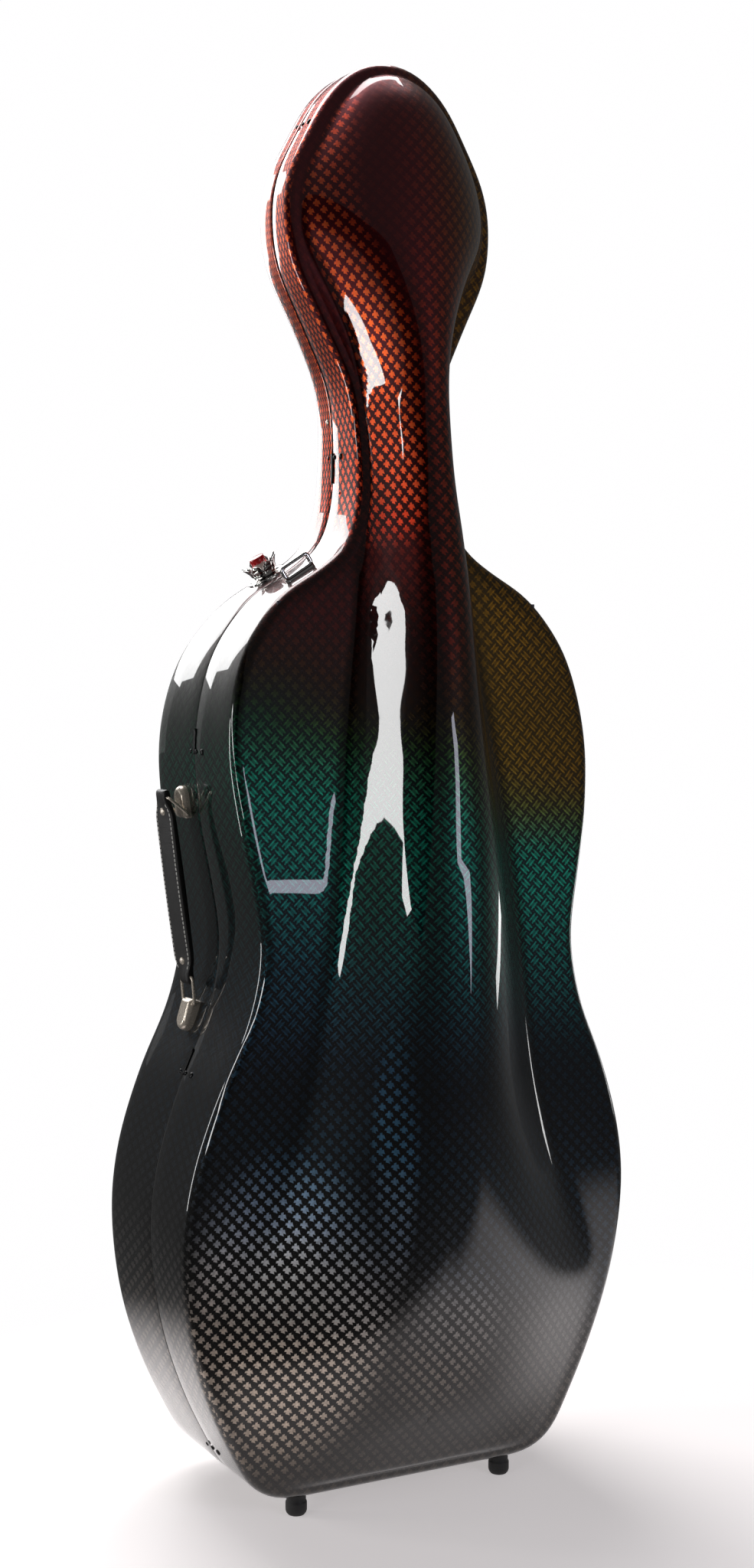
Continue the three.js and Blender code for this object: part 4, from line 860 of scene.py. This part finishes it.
def bow_pocket(hand):
    """A sewn fabric pocket, open at the bottom, with a bound edge."""
    low, high = (to_case(corner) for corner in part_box(f"{hand}_bow_pocket"))
    middle, half = (low[0] + high[0]) / 2, (high[0] - low[0]) / 2 - 0.6
    back, front = low[1] + 0.4, high[1] - 0.4

    def section(z, inset, bulge):
        width, reach = half - inset, (front - back - 2 * inset) * bulge
        return np.array([(middle + width * math.copysign(abs(math.cos(t)) ** 0.55, math.cos(t)),
                          back + inset + reach * math.sin(t) ** 0.6, z) for t in np.linspace(0, math.pi, 15)])

    zs = [low[2] + 0.5, low[2] + 3, low[2] + 10, low[2] + 30, high[2] - 16, high[2] - 8, high[2] - 3, high[2] - 0.6]
    bulges = [1.0, 0.98, 0.95, 0.97, 0.95, 0.85, 0.6, 0.25]
    outer = [section(z, 0.0, b) for z, b in zip(zs, bulges)]
    inner = [section(z, 1.8, b) for z, b in zip(zs[:-1], bulges[:-1])]
    pocket = make(f"{hand}_bow_pocket_cloth", loft(outer + inner[::-1]), "lid", "lining", f"{hand}_bow_pocket", 60)
    path = section(low[2] + 0.8, 0.9, 1.0)
    path = np.vstack([path, [(middle + (half - 1) * s, back + 0.9, low[2] + 0.8) for s in (-0.6, 0, 0.6)]])
    edge = sweep_ring(path, (0, 0, 1), superellipse(1.3, 1.3, 2, 8))
    binding = make(f"{hand}_bow_pocket_binding", edge, "lid", "lining", material=FINISHES["padding"])


bow_pocket("left")
bow_pocket("right")


# Latches
DOME = [(0, -1.6), (0.94, -1.6), (1, -0.1), (0.98, 0.3), (0.86, 0.66), (0.6, 0.9), (0.3, 0.98), (0, 1)]


def rivet(name, place, radius, height, body, node=None, slot="black_metal", material=None):
    dome = lathe([(r * radius, z * height) for r, z in DOME], 20)
    make(name, place.shape(dome), body, slot, node, 50, material)


LATCHES = {"head": 1276, "neck": 975, "upper_bout": 704, "lower_bout": 411, "bottom": 58}
for latch, z in LATCHES.items():
    rivet(f"{latch}_claw_rivet_head", wall_frame(z, 8), 2.1, 1.0, "base", f"{latch}_claw_rivet")
    rivet(f"{latch}_middle_rivet_head", wall_frame(z, -4), 2.2, 1.0, "lid")
    rivet(f"{latch}_keeper_rivet_head", wall_frame(z, -17), 3.0, 1.3, "lid", f"{latch}_keeper_rivet")


def seam_guide(latch, start, end):
    """A rounded bar across the seam, bowed with the wall."""
    rings = []
    for share in (0, 0.05, 0.12, 0.25, 0.5, 0.75, 0.88, 0.95, 1):
        along = start + (end - start) * share
        reach = min(along - start, end - along)
        half = 2.2 * math.sqrt(max(1 - (1 - min(reach / 2.2, 1)) ** 2, 0.04))
        section = superellipse(half, 1.1, 2.6, 14)
        rings.append(wall_frame(LATCHES[latch] - along, 0)(np.c_[np.zeros(14), section[:, 0], section[:, 1] + 0.1]))
    make(f"{latch}_seam_guide_bar", loft(rings), "base", "steel", f"{latch}_seam_guide", 60, FINISHES["black_metal"])


seam_guide("neck", -4, 24)
seam_guide("upper_bout", -21, 2)
seam_guide("lower_bout", -21, 2)
rivet("neck_ring_rivet", wall_frame(1008, 8), 2.6, 1.1, "base", slot="steel", material=FINISHES["satin_nickel"])
rivet("neck_small_rivet", wall_frame(941, -17), 1.3, 0.8, "lid")

# Central lock
LOCK_HEIGHT = 865
lock = facet_frame(LOCK_HEIGHT, 32)
PLATE = [(0, -4), (19.2, -4), (20, -3), (20, 0.6), (19.7, 1.1), (19, 1.45), (16.5, 1.55), (16, 1.3), (14, 1.3),
         (13.4, 1.5), (5.8, 1.5), (5.6, 1.2), (5.6, -3.9), (0, -3.9)]
DISH = [(0, 1.9), (9.5, 1.9), (11.2, 2.2), (12.2, 3.0), (12.4, 4.6), (12.1, 5.7), (11.6, 6.0), (8.9, 6.0),
        (8.3, 5.7), (8.2, 3.2), (7.9, 3.0), (0, 3.0)]
BUTTON = [(0, 15), (6.9, 15), (7.4, 15.4), (7.5, 16), (7.5, 19.6), (7.3, 20.3), (6.8, 20.8), (6, 21.0), (0, 21.0)]
GUIDE = [(0, 6.4), (7.5, 6.4), (7.6, 6.8), (7.6, 9.6), (7.4, 9.9), (5.8, 10.1), (5.6, 10.5), (5.6, 15), (0, 15)]
PETALS, PETAL_REACH = 8, 19.4


def crown_knob():
    """A turned dish with flaring petals, pointed at their tips."""
    shapes = [lathe(DISH, 64)]
    rises = np.array([0.06, 0.5, 0.8, 1.0])
    for petal in range(PETALS):
        turn = 2 * math.pi * petal / PETALS
        c, s = math.cos(turn), math.sin(turn)
        rings = []
        for u in np.linspace(0.0, 1, 14):
            rise = 0.06 + 0.94 * u
            near, far, wide = (np.interp(rise, rises, values) * PETAL_REACH for values in
                               ((0.45, 0.52, 0.67, 0.89), (0.62, 0.69, 0.83, 1.0), (0.21, 0.25, 0.22, 0.05)))
            wide *= 1 if u < 0.999 else 0.6
            thick = (far - near) / 2 * (1 - 0.35 * u)
            middle = (near + far) / 2 + 0.15 * (far - near) * math.sin(math.pi * u)
            a, b = superellipse(thick, wide, 3, 16).T
            radius = middle + a - 0.035 * b * b * (1 - u)
            rings.append(np.c_[radius * c - b * s, radius * s + b * c, 1.8 + 14.7 * rise - 0.02 * b * b])
        shapes.append(loft(rings))
    return gather(shapes)


make("lock_plate_disc", lock.shape(lathe(PLATE, 64)), "base", "chrome", "lock_plate", 40)
make("crown_knob", lock.shape(crown_knob()), "knob", "chrome", "lock_knob", 50)
make("red_push_button", lock.shape(lathe(BUTTON, 40)), "button", "red_button", "lock_button", 50)
make("button_guide", lock.shape(lathe(GUIDE, 40)), "button", "red_button", angle=50, material=STEM)


# Strap loop
strap_ring = sweep_ring(rounded_path(14.75, 2.4, 13.55, 3.2), (0, 1, 0), superellipse(1.75, 2.5, 4, 16))
strap_foot = loft([np.c_[superellipse(a, b, 5, 20), np.full(20, height)] for height, a, b in
                   ((-6, 16.2, 2.4), (2.4, 16.2, 2.4), (3.6, 15.8, 2.0), (3.9, 15.2, 1.5))])
make("strap_loop_ring", facet_frame(LOCK_HEIGHT, -40).shape(gather([strap_ring, strap_foot])), "lid", "chrome",
     "strap_loop", 50)


# Carrying handle
PIN = [(0, -11.2), (1.6, -11.2), (2.1, -10.8), (2.1, 10.8), (1.6, 11.2), (0, 11.2)]


def handle_bracket(name, z, facing):
    """A bullet-shaped dome on the wall, square at the end that the loop turns in."""
    place = facet_frame(z, 29)
    arc = [(-5 - 10 * math.sin(t), 10 * math.cos(t)) for t in np.linspace(0, math.pi, 25)]
    outline = np.array([(15, -8.5), (15, 8.5), (14.6, 9.5), (13.8, 10)] + arc + [(13.8, -10), (14.6, -9.5)])
    levels = [(-4.5, 1.0), (-1.5, 1.0), (3.5, 0.995)]
    for turn in np.linspace(0.15, 1, 7) * math.pi / 2:
        levels.append((3.5 + 5.5 * math.sin(turn), 1 - 0.30 * (1 - math.cos(turn)) ** 0.9))
    rings = [np.c_[outline * (scale * facing, scale), np.full(len(outline), height)] for height, scale in levels]
    make(f"{name}_bracket_dome", place.shape(loft(rings)), "base", "satin_nickel", f"{name}_handle_bracket", 45)
    pin, pin_faces = lathe(PIN, 20)
    pin = pin[:, [0, 2, 1]] + np.array([11 * facing, 0, 4.5])
    make(f"{name}_bracket_pin", place.shape((pin, outward(pin, pin_faces))), "base", "satin_nickel", angle=45)


handle_bracket("upper", 657, 1)
handle_bracket("lower", 458, -1)


def leaning_frame(origin, lean):
    """X along the lean from the vertical, Y to the back, Z square to both."""
    along = (-math.sin(lean), 0, math.cos(lean))
    out = (-math.cos(lean), 0, -math.sin(lean))
    return Frame(origin, along, (0, 1, 0), out)


def wire_loop(name, lean):
    """The loop that leans from the wall at rest; gives the middle of its far bar."""
    place = leaning_frame(to_case(JOINTS[f"{name}_loop_swing"]["pos_m"]), lean)
    path = [(12.5 + x, z, 0) for x, _, z in rounded_path(12.5, -13, 13, 3.4, 5)]
    wire = sweep_ring(path, (0, 0, 1), superellipse(1.4, 1.4, 2, 16))
    make(f"{name}_wire_loop", place.shape(wire), f"{name}_loop", "satin_nickel", f"{name}_handle_loop")
    return place([(25, 0, 0)])[0]


upper_eye = wire_loop("upper", math.radians(51))
lower_eye = wire_loop("lower", math.radians(5))
span = float(np.linalg.norm(upper_eye - lower_eye))
grip = leaning_frame(upper_eye, math.atan2(upper_eye[0] - lower_eye[0], lower_eye[2] - upper_eye[2]))
STRAP_POWER, STITCH_LINE = 4.5, 0.76


def strap_half_thickness(x):
    """Half the thickness of the leather at a place along the grip: round the wires, thin, then padded."""
    ends = max(math.exp(-(x / 6.5) ** 2), math.exp(-((x - span) / 6.5) ** 2))
    middle = 0.5 - 0.5 * math.cos(2 * math.pi * min(max((x - 18) / (span - 36), 0), 1))
    return 3.0 + 1.2 * ends + 1.0 * middle ** 0.5


def strap_half_width(x):
    """The strap is broadest over the hand and narrower at the eyes that hold the wire loops."""
    near_end = min(max(min(x, span - x) / 22, 0), 1)
    return 9.8 + 3.0 * near_end * near_end * (3 - 2 * near_end)


def on_grip(shape):
    """Places a shape on the grip; the strap turns a little towards the front between its two eyes."""
    x, y, z = np.asarray(shape[0], dtype=float).T
    near_end = np.clip(np.minimum(x, span - x) / 16, 0, 1)
    turn = -math.radians(15) * near_end * near_end * (3 - 2 * near_end)
    turned = np.c_[x, y * np.cos(turn) - z * np.sin(turn), y * np.sin(turn) + z * np.cos(turn)]
    return grip(turned), shape[1]


def grip_body():
    rings = []
    ends = [(-6.9, 0.30), (-6.6, 0.55), (-5.8, 0.78), (-4.4, 0.93), (-2.5, 1.0)]
    places = ends + [(x, 1.0) for x in np.linspace(0, span, 40)] + [(span - x, s) for x, s in ends[::-1]]
    for x, share in places:
        half = strap_half_thickness(min(max(x, 0), span)) * share
        wide = strap_half_width(x) - 0.5 * (1 - share)
        rings.append(np.c_[np.full(28, x), superellipse(wide, half, STRAP_POWER, 28)])
    return loft(rings)


def stitch(start, face, side):
    """One stitch along the edge on a side of the strap, on one of its two faces."""
    rings = []
    for share, radius in ((0, 0.2), (0.15, 0.44), (0.5, 0.5), (0.85, 0.44), (1, 0.2)):
        x = start + 3.1 * share
        edge = side * STITCH_LINE * strap_half_width(x)
        top = strap_half_thickness(x) * (1 - STITCH_LINE ** STRAP_POWER) ** (1 / STRAP_POWER)
        lift = top - 0.06 + 0.22 * math.sin(math.pi * share)
        rings.append(np.array([(x, edge + 1.5 * radius * math.cos(t), face * (lift + radius * math.sin(t)))
                               for t in np.linspace(0, 2 * math.pi, 7)[:-1]]))
    return loft(rings)


stitches = [stitch(x, face, side) for face in (1, -1) for side in (-1, 1) for x in np.arange(6.0, span - 8, 4.2)]
make("leather_grip", on_grip(grip_body()), "grip", "grip_leather", "handle_grip", 60)
make("grip_stitching", on_grip(gather(stitches)), "grip", "grip_leather", material=THREAD)
for i, x in enumerate((13, span - 15)):
    top = strap_half_thickness(x)
    cap, cap_faces = lathe([(r * 3.6, top - 0.35 + max(z, -0.2) * 1.7) for r, z in DOME], 24)
    for face, side in ((-1, "outer"), (1, "inner")):
        shape = cap * (1, 1, face) + (x, 0, 0), [f[::face] for f in cap_faces]
        make(f"grip_rivet_{i + 1}_{side}", on_grip(shape), "grip", "satin_nickel", angle=50)


# Feet and hinges
FOOT_SHAPE = [(0, 0), (6.6, 0), (7.8, 0.5), (9.2, 2.2), (9.9, 4.2), (10, 6), (10, 11.5), (9.7, 12.6), (9.1, 13.4),
              (9.0, 19.2), (9.6, 20.3), (0, 20.3)]
foot, foot_faces = lathe(FOOT_SHAPE, 40)
for end, body, y in (("front", "lid", -50), ("rear", "base", 84)):
    for hand, x in (("left", -109), ("right", 109)):
        make(f"{end}_{hand}_rubber_foot", (foot + np.array([x, y, 0]), foot_faces), body, "black_rubber",
             f"{end}_{hand}_foot", 50)


def slab(x_range, y_range, z_range, corner, soften):
    """A plate in a hinge's frame: thin along X, with rounded corners and a softened edge."""
    (x0, x1), (y0, y1), (z0, z1) = x_range, y_range, z_range
    rings = []
    for x, inset in ((x0, 0.0), (x1 - soften, 0.0), (x1 - soften * 0.3, soften * 0.3), (x1, soften)):
        path = rounded_path((y1 - y0) / 2 - inset, z0 + inset, z1 - inset, corner - inset, 4)
        rings.append(np.array([(x, (y0 + y1) / 2 + y, z) for y, _, z in path]))
    return loft(rings)


KNUCKLES, HINGE_HALF, KNUCKLE_PITCH = 5, 28, 56.4 / 5
PIN_END = [(1.3, 28.3), (2.3, 28.3), (2.6, 28.5), (2.6, 29.1), (2, 29.5), (0, 29.5)]
PIN_ROD = [(r, -z) for r, z in PIN_END[::-1]] + PIN_END


def hinge(name):
    low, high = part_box(f"{name}_hinge_pin")
    axis = np.array(JOINTS["lid_hinge"]["axis"], dtype=float)
    axis *= 1 if axis[2] > 0 else -1
    place = Frame(to_case((np.array(low) + np.array(high)) / 2), (axis[2], 0, -axis[0]), (0, 1, 0), axis)
    for side, first, sign in (("base", 0, 1), ("lid", 1, -1)):
        near, far = sorted((1.6 * sign, 20 * sign))
        shapes = [slab((-9.5, -3.4), (near, far), (-HINGE_HALF, HINGE_HALF), 3, 0.7)]
        for i in range(first, KNUCKLES, 2):
            start = i * KNUCKLE_PITCH - HINGE_HALF + 0.05
            end = start + KNUCKLE_PITCH - 0.5
            shapes.append(lathe([(0, start), (2.9, start), (3.4, start + 0.4), (3.4, end - 0.4), (2.9, end),
                                 (0, end)], 28))
            shapes.append(slab((-5.2, 0.5), sorted((0.6 * sign, 3.2 * sign)), (start + 0.2, end - 0.2), 0.3, 0.3))
        make(f"{name}_hinge_{side}_plate", place.shape(gather(shapes)), side, "steel", f"{name}_hinge_{side}_leaf", 40)
        for k, z in enumerate((-19, 0, 19)):
            head, head_faces = lathe([(r * 3.1, max(h, -0.3) * 1.1) for r, h in DOME], 20)
            head = head[:, [2, 1, 0]] + np.array([-3.4, sign * 13.5, z])
            make(f"{name}_hinge_{side}_rivet_{k + 1}", place.shape((head, outward(head, head_faces))), side, "steel",
                 angle=45)
    make(f"{name}_hinge_pin_rod", place.shape(lathe(PIN_ROD, 24)), "base", "steel", f"{name}_hinge_pin", 40)


hinge("upper")
hinge("lower")

# Carried-over solids: a finish for each, and eased edges
SLOTS = {p["node"]: p["material_slot"] for p in frame["record"]["subparts"]}
for name, obj in frame["nodes"].items():
    obj.data.materials.clear()
    obj.data.materials.append(FINISHES[SLOTS[name]])
    if name.endswith(("_claw", "_keeper", "bow_clip")) or name in ("lock_spindle", "lock_housing"):
        modify(obj, "BEVEL", width=0.0008 if name.endswith("clip") else 0.0003, segments=2, limit_method="ANGLE",
               angle_limit=math.radians(35))


# Studio
scene = bpy.context.scene
floor_corners = [(-2, -2, 0), (2, -2, 0), (2, 2, 0), (-2, 2, 0)]
floor = new_object("floor", mesh_of("floor", floor_corners, [(0, 1, 2, 3)], floor_material()))


def studio_world():
    """A white backdrop for the camera, and a nearly dark studio for everything else."""
    world = bpy.data.worlds.new("studio")
    world.use_nodes = True
    tree = world.node_tree
    choice = tree.nodes.new("ShaderNodeMix")
    choice.data_type = "FLOAT"
    tree.links.new(tree.nodes.new("ShaderNodeLightPath").outputs["Is Camera Ray"], choice.inputs["Factor"])
    choice.inputs["A"].default_value = 0.07
    choice.inputs["B"].default_value = 1.0
    background = tree.nodes["Background"]
    background.inputs["Color"].default_value = (1.0, 0.995, 1.0, 1)
    tree.links.new(choice.outputs["Result"], background.inputs["Strength"])
    return world


scene.world = studio_world()
overhead = bpy.data.lights.new("overhead", "AREA")
overhead.shape = "RECTANGLE"
overhead.size, overhead.size_y = 2.4, 1.6
overhead.energy = 70
overhead_light = new_object("overhead", overhead)
overhead_light.location = Vector((0.1, 1.7, 3.2))
overhead_light.rotation_euler = (Vector((0, -0.1, 0)) - overhead_light.location).to_track_quat("-Z", "Y").to_euler()


STUDIO_X, STUDIO_Y = -0.05, -0.08


def around(azimuth, height, distance):
    """A point round the case: azimuth 0 is the front, 90 the right, -90 the left."""
    a = math.radians(azimuth)
    return STUDIO_X + distance * math.sin(a), STUDIO_Y - distance * math.cos(a), height


def card(name, first_edge, second_edge, distance, radiance, colour=(1, 1, 1)):
    """A curved light panel, or a black flag with radiance 0, between two edges given as azimuth and height."""
    n = Nodes(name)
    n.finish(Base_Color=(0, 0, 0, 1), Roughness=1.0, Specular_IOR_Level=0.0, Emission_Color=(*colour, 1),
             Emission_Strength=radiance)
    points = [around(*place, distance) for pair in zip(first_edge, second_edge) for place in pair]
    faces = [(i, i + 1, i + 3, i + 2) for i in range(0, len(points) - 2, 2)]
    panel = new_object(name, mesh_of(name, points, faces, n.material))
    panel.visible_camera = False
    panel.visible_shadow = radiance == 0


card("left_card",
     [(-112, 1.44), (-104, 1.41), (-101, 1.34), (-96, 1.27), (-93, 1.24), (-88, 1.20), (-81, 1.11), (-75, 0.99),
      (-67, 0.88), (-62, 0.75), (-58, 0.60), (-55, 0.50)],
     [(-112, 1.33), (-106, 1.29), (-101, 1.24), (-98, 1.22), (-95, 1.19), (-90, 1.13), (-84.5, 1.03), (-79, 0.96),
      (-72, 0.88), (-69.5, 0.75), (-66, 0.60), (-60, 0.47)], 2.4, 14)
card("front_card",
     [(2, 1.00), (8, 0.93), (10, 0.84), (10, 0.75), (11, 0.67), (13, 0.60), (24, 0.52), (28, 0.43), (31, 0.34),
      (33.5, 0.25), (35.5, 0.18), (36.6, 0.13)],
     [(9, 1.00), (18, 0.93), (19.5, 0.84), (19.5, 0.75), (19.5, 0.67), (20, 0.61), (34, 0.54), (36, 0.43),
      (36.6, 0.34), (37, 0.25), (37.2, 0.18), (37, 0.13)], 1.5, 6, (0.84, 0.84, 1.0))
card("neck_card", [(-122, 0.05), (-127, 0.6), (-127, 1.15)], [(-116, 0.05), (-121, 0.6), (-121, 1.15)], 2.4, 12)
card("right_card", [(135, 0.62), (110, 0.35), (90, 0.12)], [(135, 0.54), (110, 0.27), (90, 0.04)], 2.4, 5)
card("rear_card_low", [(163, 1.13), (185, 1.13), (200, 1.13)], [(163, 0.6), (185, 0.6), (200, 0.6)], 2.4, 0.2)
card("rear_card_high", [(166, 2.3), (185, 2.3), (202, 2.3)], [(166, 1.14), (185, 1.14), (202, 1.14)], 2.4, 5)
card("head_flag", [(-116, 1.7), (-92, 1.7), (-76, 1.6), (-57, 1.4), (-40, 1.3)],
     [(-116, 1.23), (-92, 1.06), (-76, 0.84), (-57, 0.54), (-40, 0.40)], 1.2, 0)

# Camera, fitted to the outline and the seam in the photograph
AZIMUTH, PITCH = math.radians(-27.954), math.radians(3.364)
AWAY, HEIGHT = 2070.131, 791.055
FOCAL_PIXELS, SHIFT_PIXELS, PHOTO_HEIGHT = 2854.33, 2.49, 2048
back = np.array([math.sin(AZIMUTH), -math.cos(AZIMUTH), 0])
forward = -back * math.cos(PITCH) - np.array([0, 0, 1]) * math.sin(PITCH)
right = np.array([math.cos(AZIMUTH), math.sin(AZIMUTH), 0])
axes = np.c_[right, np.cross(right, forward), -forward, to_row(back * AWAY + np.array([0, 0, HEIGHT]))]
camera_data = bpy.data.cameras.new("camera")
camera_data.sensor_width = 36
camera_data.lens = 36 * FOCAL_PIXELS / PHOTO_HEIGHT
camera_data.shift_x = SHIFT_PIXELS / PHOTO_HEIGHT
camera_data.clip_end = 60
camera = new_object("camera", camera_data)
camera.matrix_world = Matrix([*axes.tolist(), (0, 0, 0, 1)])
scene.camera = camera
scene.view_settings.view_transform = "Standard"
